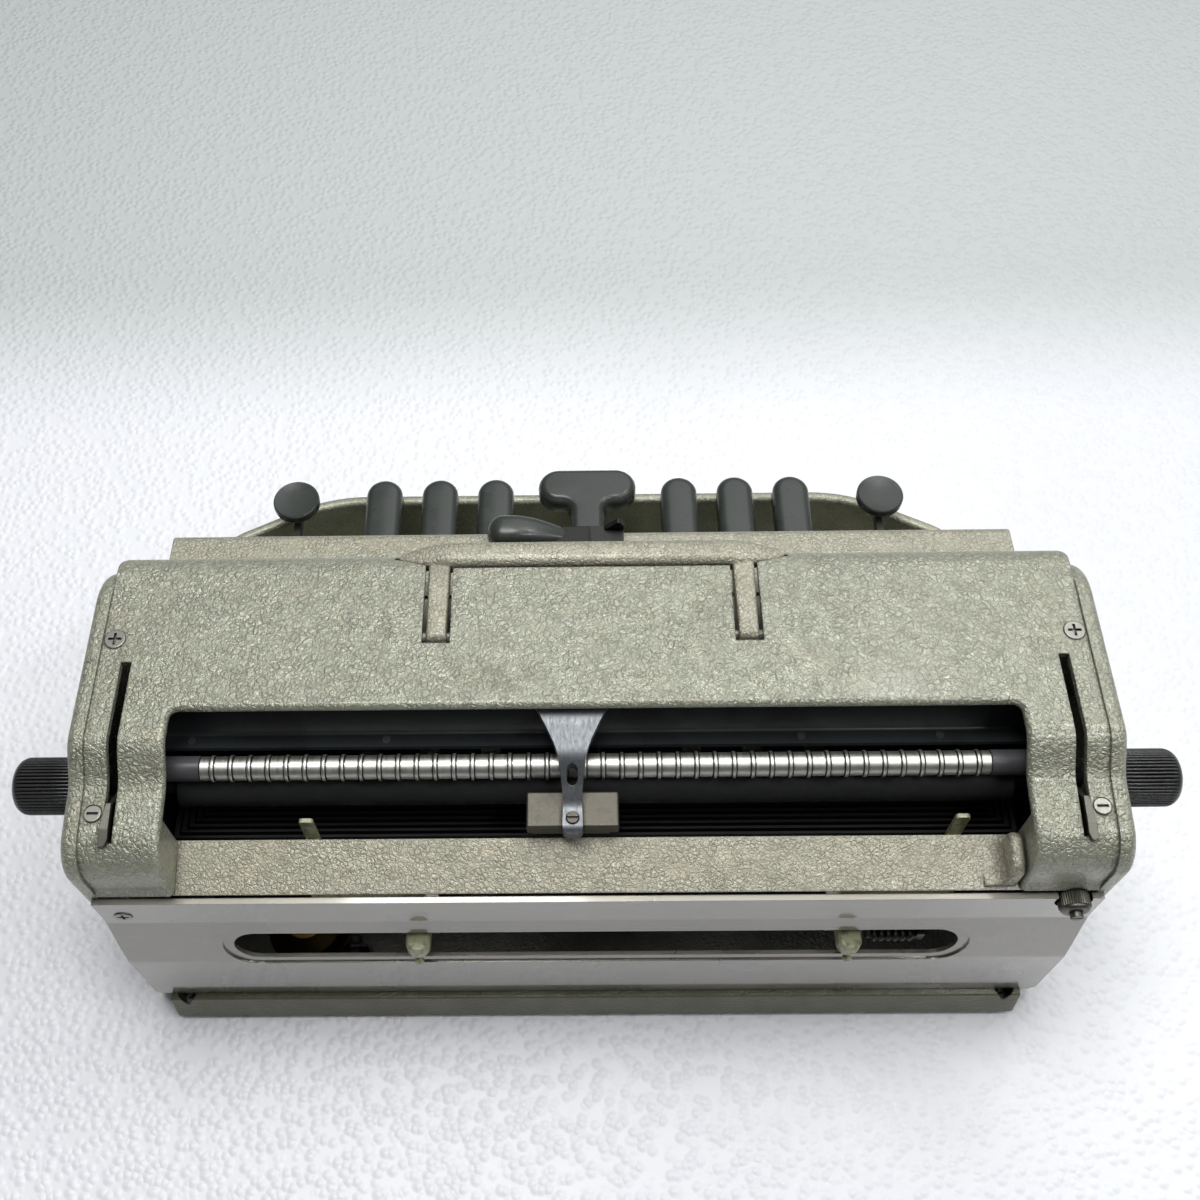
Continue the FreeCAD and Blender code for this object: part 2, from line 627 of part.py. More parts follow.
def margin_rail():
    """Round rail for the margin stops."""
    return rod(MARGIN_AXIS, MARGIN_R, -158.0, 158.0)


def bell():
    """Line-end gong on its post."""
    x, y = 112.0, 84.0
    profile = [(16.0, 24.0), (16.0, 27.0), (13.6, 33.0), (8.0, 37.0), (0.0, 38.4)]
    inner = [(0.0, 36.9), (7.6, 35.6), (12.6, 32.0), (14.6, 26.6), (14.6, 24.0)]
    wire_points = [Vector(r, 0, z) for r, z in profile + inner]
    wire_points.append(wire_points[0])
    dome = Part.Face(Part.makePolygon(wire_points)).revolve(Vector(0, 0, 0), Vector(0, 0, 1), 360)
    dome.translate(Vector(x, y, 0))
    post = pin(x, y, FLOOR_Z + FLOOR, 37.5, 2.5)
    button = pin(x, y, 37.0, 41.0, 3.4)
    return fused([dome, post, button])


# ================================================================ keys
def lever_outline(rear_y, rear_top, front_y):
    """Side view of a key lever from its cap to its lifting pad."""
    return [
        (front_y, 53.4, 0.5), (front_y, 57.4, 0.5), (-70.0, 57.4, 6.0), (-52.0, 52.0, 20.0),
        (10.0, 44.6, 6.0), (22.0, 43.8, 6.0), (rear_y - 9.0, 44.0, 4.0), (rear_y - 3.6, rear_top, 1.0),
        (rear_y + 5.4, rear_top, 1.0), (rear_y + 5.4, 40.0, 2.0), (24.0, 36.0, 6.0), (16.0, 31.6, 5.0),
        (4.0, 33.4, 6.0), (-50.0, 45.0, 20.0), (-72.0, 53.4, 6.0),
    ]


def key_lever(x, rear_y, rear_top, front_y):
    """Flat steel lever bored for the key shaft."""
    lever = across(lever_outline(rear_y, rear_top, front_y), x - LEVER_T / 2, x + LEVER_T / 2)
    hub = rod(KEY_AXIS, 7.0, x - 4.0, x + 4.0)
    return fused([lever, hub]).cut(rod(KEY_AXIS, KEY_R + FIT, x - 10, x + 10))


def cap_from(plan):
    """Moulded cap over a lever end: rounded top edges and a socket underneath."""
    cap = upright(plan, *CAP_Z)

    def on_top(edge):
        return edge.BoundBox.ZMin > CAP_Z[1] - 0.01 and edge.BoundBox.YMin < CAP_REAR_Y - 0.5

    return rounded(cap, 2.8, on_top)


def dot_cap(x):
    """Finger-shaped cap of a dot key."""
    half = CAP_WIDTH / 2
    plan = [
        (x - half, CAP_TIP_Y, half - 0.01), (x + half, CAP_TIP_Y, half - 0.01),
        (x + half, CAP_REAR_Y, 0), (x - half, CAP_REAR_Y, 0),
    ]
    cap = cap_from(plan)
    lever = across(lever_outline(80.0, 50.0, -104.0), x - LEVER_T / 2, x + LEVER_T / 2)
    return cap.cut(lever)


def space_cap():
    """T-shaped space bar."""
    half, front, rear = SPACE_HEAD
    stem = SPACE_STEM
    round_end = (rear - front) / 2 - 0.01
    plan = [
        (-half, front, round_end), (half, front, round_end), (half, rear, round_end), (stem, rear, 4.4),
        (stem, CAP_REAR_Y, 0), (-stem, CAP_REAR_Y, 0), (-stem, rear, 4.4), (-half, rear, round_end),
    ]
    cap = cap_from(plan)
    lever = across(lever_outline(80.0, 50.0, -104.0), -LEVER_T / 2, LEVER_T / 2)
    return cap.cut(lever)


def round_key(x):
    """Dished round key on a stem, in one with its lever."""
    y = -100.0
    button = pin(x, y, 55.6, 60.6, 10.25)
    button = rounded(button, 1.4, lambda e: True)
    dish = Part.makeSphere(46.0, Vector(x, y, 60.2 + 45.2))
    stem = pin(x, y, 49.0, 56.0, 3.0)
    points = [
        (-103.0, 47.4, 0.5), (-103.0, 51.4, 0.5), (-70.0, 51.4, 8.0), (10.0, 44.6, 6.0), (22.0, 43.8, 6.0),
        (58.0, 44.0, 2.0), (58.0, 40.0, 2.0), (24.0, 36.0, 6.0), (16.0, 31.6, 5.0), (4.0, 33.4, 6.0),
        (-66.0, 46.6, 10.0),
    ]
    arm = across(points, x - LEVER_T / 2, x + LEVER_T / 2)
    hub = rod(KEY_AXIS, 7.0, x - 4.0, x + 4.0)
    whole = fused([button.cut(dish), stem, arm, hub])
    return whole.cut(rod(KEY_AXIS, KEY_R + FIT, x - 10, x + 10))


# ================================================================ bails
def bail(order, key_x):
    """Swinging frame that lifts one embossing pin wherever the head stands."""
    blade_y = BAIL_FIRST_Y + order * BAIL_PITCH
    arm_x = BAIL_ARM_X + order * BAIL_ARM_PITCH
    low, high = BAIL_Z
    y, z = BAIL_AXIS
    reach = arm_x + BAIL_ARM_T
    blade = box((-reach, reach), (blade_y - BAIL_T / 2, blade_y + BAIL_T / 2), (low, high))
    arm_points = [
        (y - 4.0, z - 4.5, 3.0), (y - 4.0, z + 4.5, 3.0), (y + 8.0, z + 5.0, 4.0),
        (blade_y - 8.0, high, 4.0), (blade_y + BAIL_T / 2, high, 0),
        (blade_y + BAIL_T / 2, low, 0), (y + 8.0, z - 4.0, 4.0),
    ]
    arms = both(across(arm_points, arm_x, reach))
    tab = box((key_x - 3.5, key_x + 3.5), (blade_y - BAIL_T / 2, blade_y + BAIL_T / 2), (TAB_Z, low + 1))
    return fused([blade, tab] + arms).cut(rod(BAIL_AXIS, BAIL_R + FIT, -200, 200))


# ================================================================ carriage
def carriage_frame():
    """Cast slide on the two rails, with an arm under the feed drum."""
    x0, x1 = HEAD_X - 20.0, HEAD_X + 20.0
    side_view = [
        (7.0, 93.0, 3.0), (7.0, 130.0, 3.0), (12.0, 133.6, 2.0), (23.6, 133.6, 0), (24.8, 136.8, 0),
        (31.8, 136.8, 1.0), (31.8, 127.0, 4.0),
        (22.0, 118.0, 4.0), (22.0, 104.4, 3.0), (34.0, 103.6, 3.0), (58.8, 103.6, 0), (58.8, 98.6, 0),
        (34.0, 98.6, 3.0), (24.0, 93.0, 3.0),
    ]
    body = across(side_view, x0, x1)
    relief = box((x0 + 10.0, x1 - 10.0), (0.0, 40.0), (106.0, 116.0))
    narrow_left = box((x0 - 1, HEAD_X - 9.0), (32.0, 60.0), (95.0, 106.0))
    narrow_right = box((HEAD_X + 9.0, x1 + 1), (32.0, 60.0), (95.0, 106.0))
    holes = [rod(axis, RAIL_R + FIT, x0 - 5, x1 + 5) for axis in RAIL_AXES]
    body = body.cut(holes + [relief, narrow_left, narrow_right])
    ear_points = [(7.5, 124.0, 0), (7.5, 132.0, 0), (-0.6, 132.0, 3.6), (-0.6, 124.4, 3.6)]
    ears = [across(ear_points, HEAD_X + side * 8.6 - 1.2, HEAD_X + side * 8.6 + 1.2) for side in (-1, 1)]
    pivot = rod(LEVER_PIVOT, 1.8, HEAD_X - 9.8, HEAD_X + 9.8)
    return fused([body, pivot] + ears)


def embossing_yoke():
    """Steel arm over the roller: wide at the carriage, narrow at the die."""
    path = [
        (24.8, 139.4, 0), (50.5, 139.4, 14.0), (62.5, 136.2, 8.0), (69.0, 128.4, 7.0), (75.0, 123.6, 5.0),
        (84.0, 123.6, 2.8), (84.0, 117.0, 0),
    ]
    strip = sheet(path, YOKE_T, HEAD_X - 14.0, HEAD_X + 14.0)
    half_plan = [(13.4, 20.0, 0), (12.9, 44.0, 4.0), (4.3, 61.5, 34.0), (3.2, 73.0, 8.0), (3.6, 84.2, 2.6)]
    right = [(HEAD_X + u, v, r) for u, v, r in half_plan]
    left = [(HEAD_X - u, v, r) for u, v, r in reversed(half_plan)]
    arm = strip.common(upright(right + left, 100.0, 160.0))
    oval = [(HEAD_X + u, v, 1.89) for u, v in ((-1.9, 64.0), (-1.9, 69.4), (1.9, 69.4), (1.9, 64.0))]
    hole = upright(oval, 110.0, 150.0)
    seat = pin(HEAD_X, 79.2, 122.4, 126.0, 2.3)
    thread = pin(HEAD_X, 79.2, 119.0, 126.0, 1.2 + SEAT)
    return arm.cut([hole, seat, thread])


def die_block():
    """Upper die under the yoke's tip, with its holding screw."""
    block = box((HEAD_X - BLOCK_HALF, HEAD_X + BLOCK_HALF), BLOCK_Y, BLOCK_Z)
    block = rounded(block, 0.9, lambda e: e.BoundBox.ZMin > BLOCK_Z[1] - 0.01 or e.BoundBox.ZLength > 4)
    strip = box((HEAD_X - 12.5, HEAD_X + 14.0), (BLOCK_Y[1] - 4.0, BLOCK_Y[1]), (115.0, 116.0))
    screw = pin(HEAD_X, 79.2, 120.5, 123.4, 1.2)
    head = pin(HEAD_X, 79.2, 122.4, 124.2, 2.0)
    slit = box((HEAD_X - 3, HEAD_X + 3), (78.85, 79.55), (123.6, 125.0))
    dots = []
    for column in (-1.25, 1.25):
        for row in (-2.5, 0.0, 2.5):
            dots.append(pin(HEAD_X + column, 71.0 + row, 114.0, 115.4, 0.6))
    return fused([block, strip, screw, head.cut(slit)]).cut([d for d in dots if d.BoundBox.YMin > 68.3])


def pin_head():
    """Lower half of the head, with six embossing pins over the six bails."""
    points = [
        (58.8, 98.6, 0), (58.8, 103.6, 0), (67.0, 103.6, 2.0), (69.3, 106.5, 2.0), (69.3, 113.0, 0.8),
        (73.2, 113.0, 0.8), (73.2, 98.6, 0),
    ]
    block = across(points, HEAD_X - 7.0, HEAD_X + 7.0)
    pins = []
    for order in range(6):
        x = HEAD_X + (order % 3 - 1) * 3.0
        y = BAIL_FIRST_Y + order * BAIL_PITCH - 0.6
        pins.append(pin(x, y, 97.6, 99.6, 0.8))
    return fused([block] + pins)


def carriage_lever():
    """Bent steel arm that reaches out under the cover to the grip."""
    x0, x1 = HEAD_X - 7.0, HEAD_X + 7.0
    side_view = [
        (-36.5, 125.4, 0.5), (-36.5, 128.4, 0.5), (-8.0, 130.6, 6.0),
        (1.6, 131.0, 3.0), (1.6, 125.4, 3.0), (-8.0, 127.0, 6.0),
    ]
    arm = across(side_view, x0, x1)
    cross = box((-12.6, 24.0), (-36.5, -29.0), (125.4, 128.2))
    fin = through([(-12.6, 125.6), (-12.6, 131.0, 0.8), (-10.6, 133.6, 1.0), (-5.2, 128.0)], -36.5, -34.5)
    barrel = rod(LEVER_PIVOT, 3.6, x0, x1)
    return fused([arm, cross, fin, barrel]).cut(rod(LEVER_PIVOT, 1.8 + FIT, x0 - 5, x1 + 5))


def carriage_grip():
    """Moulded teardrop grip on the end of the carriage lever."""
    plan = [
        (8.4, -36.2, 1.0), (18.0, -38.8, 20.0), (38.6, -39.6, 5.6), (38.6, -26.6, 5.6), (8.4, -28.6, 1.0),
    ]
    front_view = [
        (8.0, 124.6, 0.8), (8.0, 128.0, 1.0), (27.0, 135.0, 14.0), (39.0, 134.4, 5.0), (39.0, 124.6, 3.0),
    ]
    grip = upright(plan, 120.0, 140.0).common(through(front_view, -45.0, -20.0))
    return grip.cut(carriage_lever())


# ================================================================ paper feed
def feed_drum():
    """Rubber-covered drum on a through shaft, with the line-spacing ratchet wheel."""
    shaft = rod(FEED_AXIS, FEED_R, -196.0, 196.0)
    bore = rod(FEED_AXIS, FEED_R + SEAT, -200.0, 200.0)
    drum = rod(FEED_AXIS, DRUM_R, -144.0, 144.0).cut(bore)
    teeth = 14
    points = []
    for i in range(teeth):
        angle = 2 * math.pi * i / teeth
        following = 2 * math.pi * (i + 0.92) / teeth
        points.append((FEED_AXIS[0] + 5.8 * math.cos(angle), FEED_AXIS[1] + 5.8 * math.sin(angle)))
        points.append((FEED_AXIS[0] + 7.2 * math.cos(following), FEED_AXIS[1] + 7.2 * math.sin(following)))
    ratchet = across(points, -157.9, -155.6).cut(bore)
    return Part.makeCompound([shaft, drum, ratchet])


def feed_knobs():
    """Two ribbed knobs on the feed shaft; the ribs run out over the rounded ends."""
    y, z = FEED_AXIS
    ribs = 48
    radius = 10.1
    points = []
    for i in range(ribs):
        for share, reach in ((-0.3, radius), (0.15, radius), (0.27, radius - 0.5), (0.58, radius - 0.5)):
            angle = 2 * math.pi * (i + share) / ribs
            points.append((y + reach * math.cos(angle), z + reach * math.sin(angle)))
    end = rounded(rod(FEED_AXIS, radius + 0.1, 176.2, KNOB_END), 4.6, lambda e: e.BoundBox.XMin > KNOB_END - 0.1)
    barrel = across(points, 176.2, KNOB_END).common(end)
    collar = rod(FEED_AXIS, 7.0, 175.4, 176.4)
    knob = fused([barrel, collar]).cut(rod(FEED_AXIS, FEED_R, 170.0, 196.0))
    return Part.makeCompound(both(knob))


def grooved_roller():
    """Steel pressure roller with a raised ring at every cell."""
    half = CELL * CELLS / 2
    y, z = ROLLER_AXIS
    points = [(0.0, -151.0), (2.2, -151.0), (2.2, -half - 1.0), (ROLLER_GROOVE_R, -half - 1.0)]
    for i in range(CELLS + 1):
        x = -half + i * CELL
        points += [(ROLLER_GROOVE_R, x - RING), (ROLLER_R, x - RING)]
        points += [(ROLLER_R, x + RING), (ROLLER_GROOVE_R, x + RING)]
    points += [(ROLLER_GROOVE_R, half + 1.0), (2.2, half + 1.0), (2.2, 151.0), (0.0, 151.0)]
    wire_points = [Vector(x, y + r, z) for r, x in points]
    wire_points.append(wire_points[0])
    face = Part.Face(Part.makePolygon(wire_points))
    return face.revolve(Vector(0, y, z), Vector(1, 0, 0), 360)


def roller_sleeves():
    """Plain bearing sleeves at both ends of the roller."""
    inner = CELL * CELLS / 2 + 1.3
    sleeve = rod(ROLLER_AXIS, 4.4, inner, FRAME_X[0])
    return Part.makeCompound(both(sleeve.cut(rod(ROLLER_AXIS, 2.2 + FIT, 100, 160))))


def release_lever():
    """Right paper-release lever: pressed steel with a tongue folded out over the hump."""
    x = RELEASE_SLOT_X
    blade_points = [
        (48.4, 114.0, 4.0), (55.4, 113.4, 5.0), (77.6, 127.8, 8.0), (90.0, 131.6, 1.2), (90.2, 135.2, 0.6),
        (79.6, 136.9, 1.5), (70.0, 128.6, 12.0), (54.0, 122.6, 4.6), (48.4, 122.0, 4.0),
    ]
    blade = across(blade_points, x - 0.8, x + 0.8)
    tongue_plan = [
        (x - 0.8, 78.6), (x + 0.8, 78.6), (x + 2.0, 86.0, 2.0), (x + 2.3, 92.0, 1.2), (x + 0.4, 93.2, 1.2),
        (x - 0.8, 90.2),
    ]
    hump = [(77.0, 136.3), (87.0, 134.9, 6.0), (94.0, 132.7), (94.0, 134.1), (87.0, 136.3, 6.0), (77.0, 137.7)]
    tongue = upright(tongue_plan, 128.0, 142.0).common(across(hump, x - 2.0, x + 6.0))
    bore = rod(RELEASE_AXIS, 2.4 + FIT, x - 5, x + 5)
    return fused([blade, tongue]).cut(bore)


# ================================================================ handle
def handle():
    """Carrying handle: a leaf-shaped bar on two arms, with its pivot pins."""
    bar = upright(handle_leaf(0.0), 138.6, 148.0)
    crown = across([(-18.2, 138.0, 0), (-18.2, 147.6, 4.6), (-7.7, 147.2, 3.0), (-7.7, 138.0, 0)], -80, 80)
    taper = through([(-72.0, 138.0, 0), (-72.0, 142.6, 1.0), (-50.0, 147.7, 60.0), (50.0, 147.7, 60.0),
                     (72.0, 142.6, 1.0), (72.0, 138.0, 0)], -30, 0)
    bar = bar.common(crown).common(taper)
    y, z = HANDLE_AXIS
    arms = []
    for side in (-1, 1):
        x = side * ARM_X
        points = [
            (-10.0, 139.6, 0), (-10.0, 145.4, 0), (y - 1.0, 145.2, 6.0), (y + 2.9, 143.4, 1.6),
            (y + 2.9, 139.6, 2.4),
        ]
        plan = [(x - 4.0, -12.0), (x + 4.0, -12.0), (x + 3.5, y + 4.0), (x - 3.5, y + 4.0)]
        arms.append(across(points, x - 5.0, x + 5.0).common(upright(plan, 130.0, 150.0)))
        arms.append(rod(HANDLE_AXIS, 1.6, x - 8.0, x + 8.0))
    return fused([bar] + arms)


# ================================================================ margins and bell
def margin_stop(side):
    """Slider on the margin rail: rounded tab, release pin and paper-side finger."""
    x = STOP_X[side]
    finger_x = FINGER_X[side]
    y, z = MARGIN_AXIS
    body = box((x - 7.0, x + 7.0), (y - 5.5, y + 5.5), (z - 6.0, z + 6.5))
    tab_plan = [(x - 4.3, y + 4.0, 0), (x - 4.3, 109.0, 4.25), (x + 4.3, 109.0, 4.25), (x + 4.3, y + 4.0, 0)]
    tab = upright(tab_plan, 66.6, 72.8)
    tab = rounded(tab, 1.6, lambda e: e.BoundBox.ZMin > 72.7 and e.BoundBox.YMax > 104)
    release = stud(x, 62.6, y + 4.0, 108.2, 1.2)
    ball = Part.makeSphere(1.7, Vector(x, 108.6, 62.6))
    low_x, high_x = sorted((x, finger_x))
    bridge = box((low_x - 2.4, high_x + 2.4), (y - 5.5, y - 3.5), (z + 4.0, 101.0))
    window = box((low_x + 7.0, high_x - 4.0), (y - 8.0, y), (z + 12.0, 94.0))
    reach = across([(FINGER_Y[0], 94.6), (FINGER_Y[0], 97.0), (y - 4.0, 101.0), (y - 4.0, 98.6)],
                   finger_x - FINGER_W / 2, finger_x + FINGER_W / 2)
    finger = box((finger_x - FINGER_W / 2, finger_x + FINGER_W / 2), FINGER_Y, (94.6, 112.4))
    finger = rounded(finger, 1.2, lambda e: e.BoundBox.ZMin > 112.3 and e.BoundBox.XLength < 1e-6)
    stop = fused([body, tab, release, ball, bridge.cut(window), reach, finger])
    return stop.cut(rod(MARGIN_AXIS, MARGIN_R + FIT, x - 60, x + 60))


def margin_spring():
    """Trip spring and hook beside the left margin stop."""
    x = STOP_X["left"]
    start, stop = x - 8.6, x - 24.0
    turns = 6
    pitch = (stop - start) / turns
    points = [(1.4, start)]
    for i in range(turns):
        points += [(2.6, start + (i + 0.25) * pitch), (2.6, start + (i + 0.6) * pitch)]
        points.append((1.9, start + (i + 1) * pitch))
    points.append((1.4, stop))
    wire_points = [Vector(px, 101.0 + r, 66.0) for r, px in points]
    wire_points.append(wire_points[0])
    tube = Part.Face(Part.makePolygon(wire_points)).revolve(Vector(0, 101.0, 66.0), Vector(1, 0, 0), 360)
    core = rod((101.0, 66.0), 1.5, x - 25.6, x - 6.9)
    hook = box((x - 27.6, x - 25.0), (99.6, 102.4), (63.4, 69.4))
    neck = box((x - 9.0, x - 7.0), (98.4, 102.0), (64.6, 67.4))
    return fused([tube, core, hook, neck])


def bell_hammer():
    """Spring arm with a ball that taps the gong."""
    post = box((88.0, 91.0), (92.6, 93.8), (21.0, 32.0))
    arm = box((88.0, 94.4), (92.6, 93.8), (28.6, 31.2))
    ball = Part.makeSphere(2.6, Vector(92.9, 90.6, 29.9))
    hub = pin(89.5, 93.2, 15.4, 23.0, 3.0)
    return fused([post, arm, ball, hub]).cut(pin(89.5, 93.2, 0, 21.0, 1.6 + FIT))


def hammer_post():
    """Pivot post of the bell hammer."""
    return fused([pin(89.5, 93.2, FLOOR_Z + FLOOR, 20.6, 1.6), pin(89.5, 93.2, FLOOR_Z + FLOOR, 15.0, 3.0)])


def spring_barrel():
    """Drum of the spring that draws the carriage."""
    axis = (14.0, 62.0)
    drum = rod(axis, 13.0, -150.0, -140.0)
    groove = rod(axis, 20.0, -147.6, -142.4).cut(rod(axis, 11.6, -148.0, -142.0))
    bore = rod(axis, 2.5 + FIT, -160, -130)
    return drum.cut([groove, bore])


# ================================================================ export
os.makedirs("parts", exist_ok=True)

right_plate = side_plate()
right_frame = frame_plate()
left_frame = right_frame.mirror(Vector(0, 0, 0), Vector(1, 0, 0))
barrel_post = rod((14.0, 62.0), 2.5, -FRAME_X[0] - 0.5, -139.0)
left_frame = fused([left_frame, barrel_post])
right_release = release_lever()

nodes = {
    "base_tray": base_tray(),
    "rubber_feet": rubber_feet(),
    "right_side_plate": right_plate,
    "left_side_plate": left_side_plate(right_plate),
    "right_frame": right_frame,
    "left_frame": left_frame,
    "top_cover": top_cover(),
    "case_screws": case_screws(),
    "thumb_nut": thumb_nut(),
    "reading_rest": reading_rest(),
    "rear_panel": rear_panel(),
    "front_panel": front_panel(),
    "carriage_rails": carriage_rails(),
    "escapement_rack": escapement_rack(),
    "key_shaft": rod(KEY_AXIS, KEY_R, -158.0, 158.0),
    "key_springs": key_springs(),
    "bail_shaft": rod(BAIL_AXIS, BAIL_R, -158.0, 158.0),
    "paper_guide": paper_guide(),
    "roller_sleeves": roller_sleeves(),
    "margin_rail": margin_rail(),
    "bell": Part.makeCompound([bell(), hammer_post()]),
    "bell_hammer": bell_hammer(),
    "spring_barrel": spring_barrel(),
    "space_cap": space_cap(),
    "space_lever": key_lever(0.0, 60.0, 46.0, -104.0),
    "backspace_key": round_key(ROUND_KEY_X),
    "line_space_key": round_key(-ROUND_KEY_X),
    "carriage_frame": carriage_frame(),
    "embossing_yoke": embossing_yoke(),
    "die_block": die_block(),
    "pin_head": pin_head(),
    "carriage_lever": carriage_lever(),
    "carriage_grip": carriage_grip(),
    "feed_drum": feed_drum(),
    "feed_knobs": feed_knobs(),
    "grooved_roller": grooved_roller(),
    "right_release_lever": right_release,
    "left_release_lever": right_release.mirror(Vector(0, 0, 0), Vector(1, 0, 0)),
    "carrying_handle": handle(),
    "right_margin_stop": margin_stop("right"),
    "left_margin_stop": margin_stop("left"),
    "margin_spring": margin_spring(),
}
for order, (dot, key_x) in enumerate(sorted(DOT_KEY_X.items())):
    blade_y = BAIL_FIRST_Y + order * BAIL_PITCH
    nodes["dot_%d_cap" % dot] = dot_cap(key_x)
    nodes["dot_%d_lever" % dot] = key_lever(key_x, blade_y, TAB_Z - 0.3, -104.0)
    nodes["dot_%d_bail" % dot] = bail(order, key_x)

for name, shape in sorted(nodes.items()):
    shape.translate(Vector(0, -MIDDLE_Y, 0))
    shape.exportStep("parts/%s.step" % name)
    facts = (name, len(shape.Solids), shape.Volume, shape.isValid())
    print("%-22s solids %2d  volume %9.0f  valid %s" % facts)
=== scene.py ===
# %% [markdown]
# # A braille writer on a white board
# The solids come from the CAD frame, in metres: X to the typist's right, Y away from the
# typist, Z up.  This file gives them their finishes and adds the pieces whose form is
# easier to write as a surface: ribbed knobs, a ringed roller, crowned caps, the carrying
# handle and the grip.

# %% Load the frame
import math

import bmesh
import bpy
import numpy as np
from mathutils import Matrix, Vector


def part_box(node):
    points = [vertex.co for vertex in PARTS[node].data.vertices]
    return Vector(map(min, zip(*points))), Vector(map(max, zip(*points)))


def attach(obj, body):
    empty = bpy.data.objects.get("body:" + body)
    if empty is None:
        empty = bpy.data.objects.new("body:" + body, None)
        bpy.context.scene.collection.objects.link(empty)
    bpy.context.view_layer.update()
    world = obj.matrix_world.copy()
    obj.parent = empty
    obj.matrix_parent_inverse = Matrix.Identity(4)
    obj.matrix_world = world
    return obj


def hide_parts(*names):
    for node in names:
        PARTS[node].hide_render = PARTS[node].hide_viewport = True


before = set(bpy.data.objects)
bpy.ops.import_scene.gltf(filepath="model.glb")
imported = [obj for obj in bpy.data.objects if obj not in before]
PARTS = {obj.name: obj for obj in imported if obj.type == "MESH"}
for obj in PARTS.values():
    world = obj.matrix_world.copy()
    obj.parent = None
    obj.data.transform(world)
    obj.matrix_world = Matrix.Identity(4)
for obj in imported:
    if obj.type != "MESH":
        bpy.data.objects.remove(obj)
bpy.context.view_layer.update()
MM = 0.001

# %% [markdown]
# ## The camera
# The machine is seen from behind and above, over its rear edge.  A camera is easiest to
# place by three turns: tip it down from the horizon, swing it about the vertical, then
# roll it about its own axis.

# %% Place the camera
SENSOR = 36.0                        # width in mm
LENS = 40.40                         # focal length in mm
SHIFT = 0.0352                       # sideways, as a share of the picture's width
EYE = Vector((0.00559, 0.25675, 0.54568))
TIP_DOWN = math.radians(58.22)
SWING = math.radians(180.0 + 1.46)
ROLL = math.radians(-1.80)

lens = bpy.data.cameras.new("camera")
lens.lens = LENS
lens.sensor_width = SENSOR
lens.shift_x = SHIFT
camera = bpy.data.objects.new("camera", lens)
turn = Matrix.Rotation(SWING, 4, "Z") @ Matrix.Rotation(math.pi / 2 - TIP_DOWN, 4, "X")
camera.matrix_world = Matrix.Translation(EYE) @ turn @ Matrix.Rotation(ROLL, 4, "Z")
bpy.context.scene.collection.objects.link(camera)
bpy.context.scene.camera = camera
print("camera", round(EYE.length, 3), "m from the middle of the base")

# %% [markdown]
# ## Building a material
# A procedural material is a chain of nodes, and a few helpers keep the chains short.  `put`
# makes a node and fills its sockets from numbers or from other nodes' outputs, and
# `blended` mixes two colours by a mask.

# %% Helpers for node chains
def put(tree, kind, sockets=None, **settings):
    """A new node; settings are its properties, and sockets maps a name to a value or output."""
    node = tree.nodes.new(kind)
    for key, value in settings.items():
        setattr(node, key, value)
    for key, value in (sockets or {}).items():
        if isinstance(value, bpy.types.NodeSocket):
            tree.links.new(value, node.inputs[key])
        else:
            node.inputs[key].default_value = value
    return node


def blended(tree, mask, low, high):
    """Colour between low and high as the mask goes from 0 to 1."""
    node = put(tree, "ShaderNodeMix", data_type="RGBA")
    for socket, value in ((0, mask), (6, low), (7, high)):
        if isinstance(value, bpy.types.NodeSocket):
            tree.links.new(value, node.inputs[socket])
        else:
            node.inputs[socket].default_value = value
    return node.outputs[2]


def step(tree, value, start, end, low=0.0, high=1.0):
    """Smooth step of a value: low below start, high above end."""
    sockets = {"Value": value, "From Min": start, "From Max": end, "To Min": low, "To Max": high}
    node = put(tree, "ShaderNodeMapRange", sockets, interpolation_type="SMOOTHSTEP")
    return node.outputs["Result"]


def sums(tree, operation, a, b):
    """Arithmetic on two values."""
    return put(tree, "ShaderNodeMath", {0: a, 1: b}, operation=operation).outputs[0]


def new_material(name):
    """An empty material: its node tree, its shader and the object's own coordinates."""
    material = bpy.data.materials.new(name)
    material.use_nodes = True
    tree = material.node_tree
    shader = tree.nodes["Principled BSDF"]
    place = put(tree, "ShaderNodeTexCoord").outputs["Object"]
    return material, tree, shader, place


print("chain helpers ready")

# %% [markdown]
# ## Patterns measured in metres
# Noise and Voronoi textures take a scale, which is one over a size, so these helpers ask
# for the size of a blob or a cell instead.  Two more look at the shape itself: one rounds
# every edge, the other finds the corners and gaps where shade is painted in.

# %% Pattern helpers
def noise(tree, place, size, detail=2.0, rough=0.5):
    """Cloudy noise whose blobs are about the given size in metres."""
    sockets = {"Vector": place, "Scale": 1.0 / size, "Detail": detail, "Roughness": rough}
    return put(tree, "ShaderNodeTexNoise", sockets)


def patches(tree, place, size, edges, values=(0.0, 1.0), detail=3.0, rough=0.5):
    """Soft patches: noise taken through a smooth step between two edges, to two values."""
    return step(tree, noise(tree, place, size, detail, rough).outputs["Fac"], *edges, *values)


def cells(tree, place, size, feature):
    """Cell pattern of the given size in metres."""
    sockets = {"Vector": place, "Scale": 1.0 / size}
    return put(tree, "ShaderNodeTexVoronoi", sockets, feature=feature)


def stretched(tree, place, factors):
    """Coordinates scaled per axis, to draw a pattern out along one direction."""
    return put(tree, "ShaderNodeMapping", {"Vector": place, "Scale": factors}).outputs[0]


def along_y(tree, place):
    """The Y coordinate alone."""
    return put(tree, "ShaderNodeSeparateXYZ", {"Vector": place}).outputs["Y"]


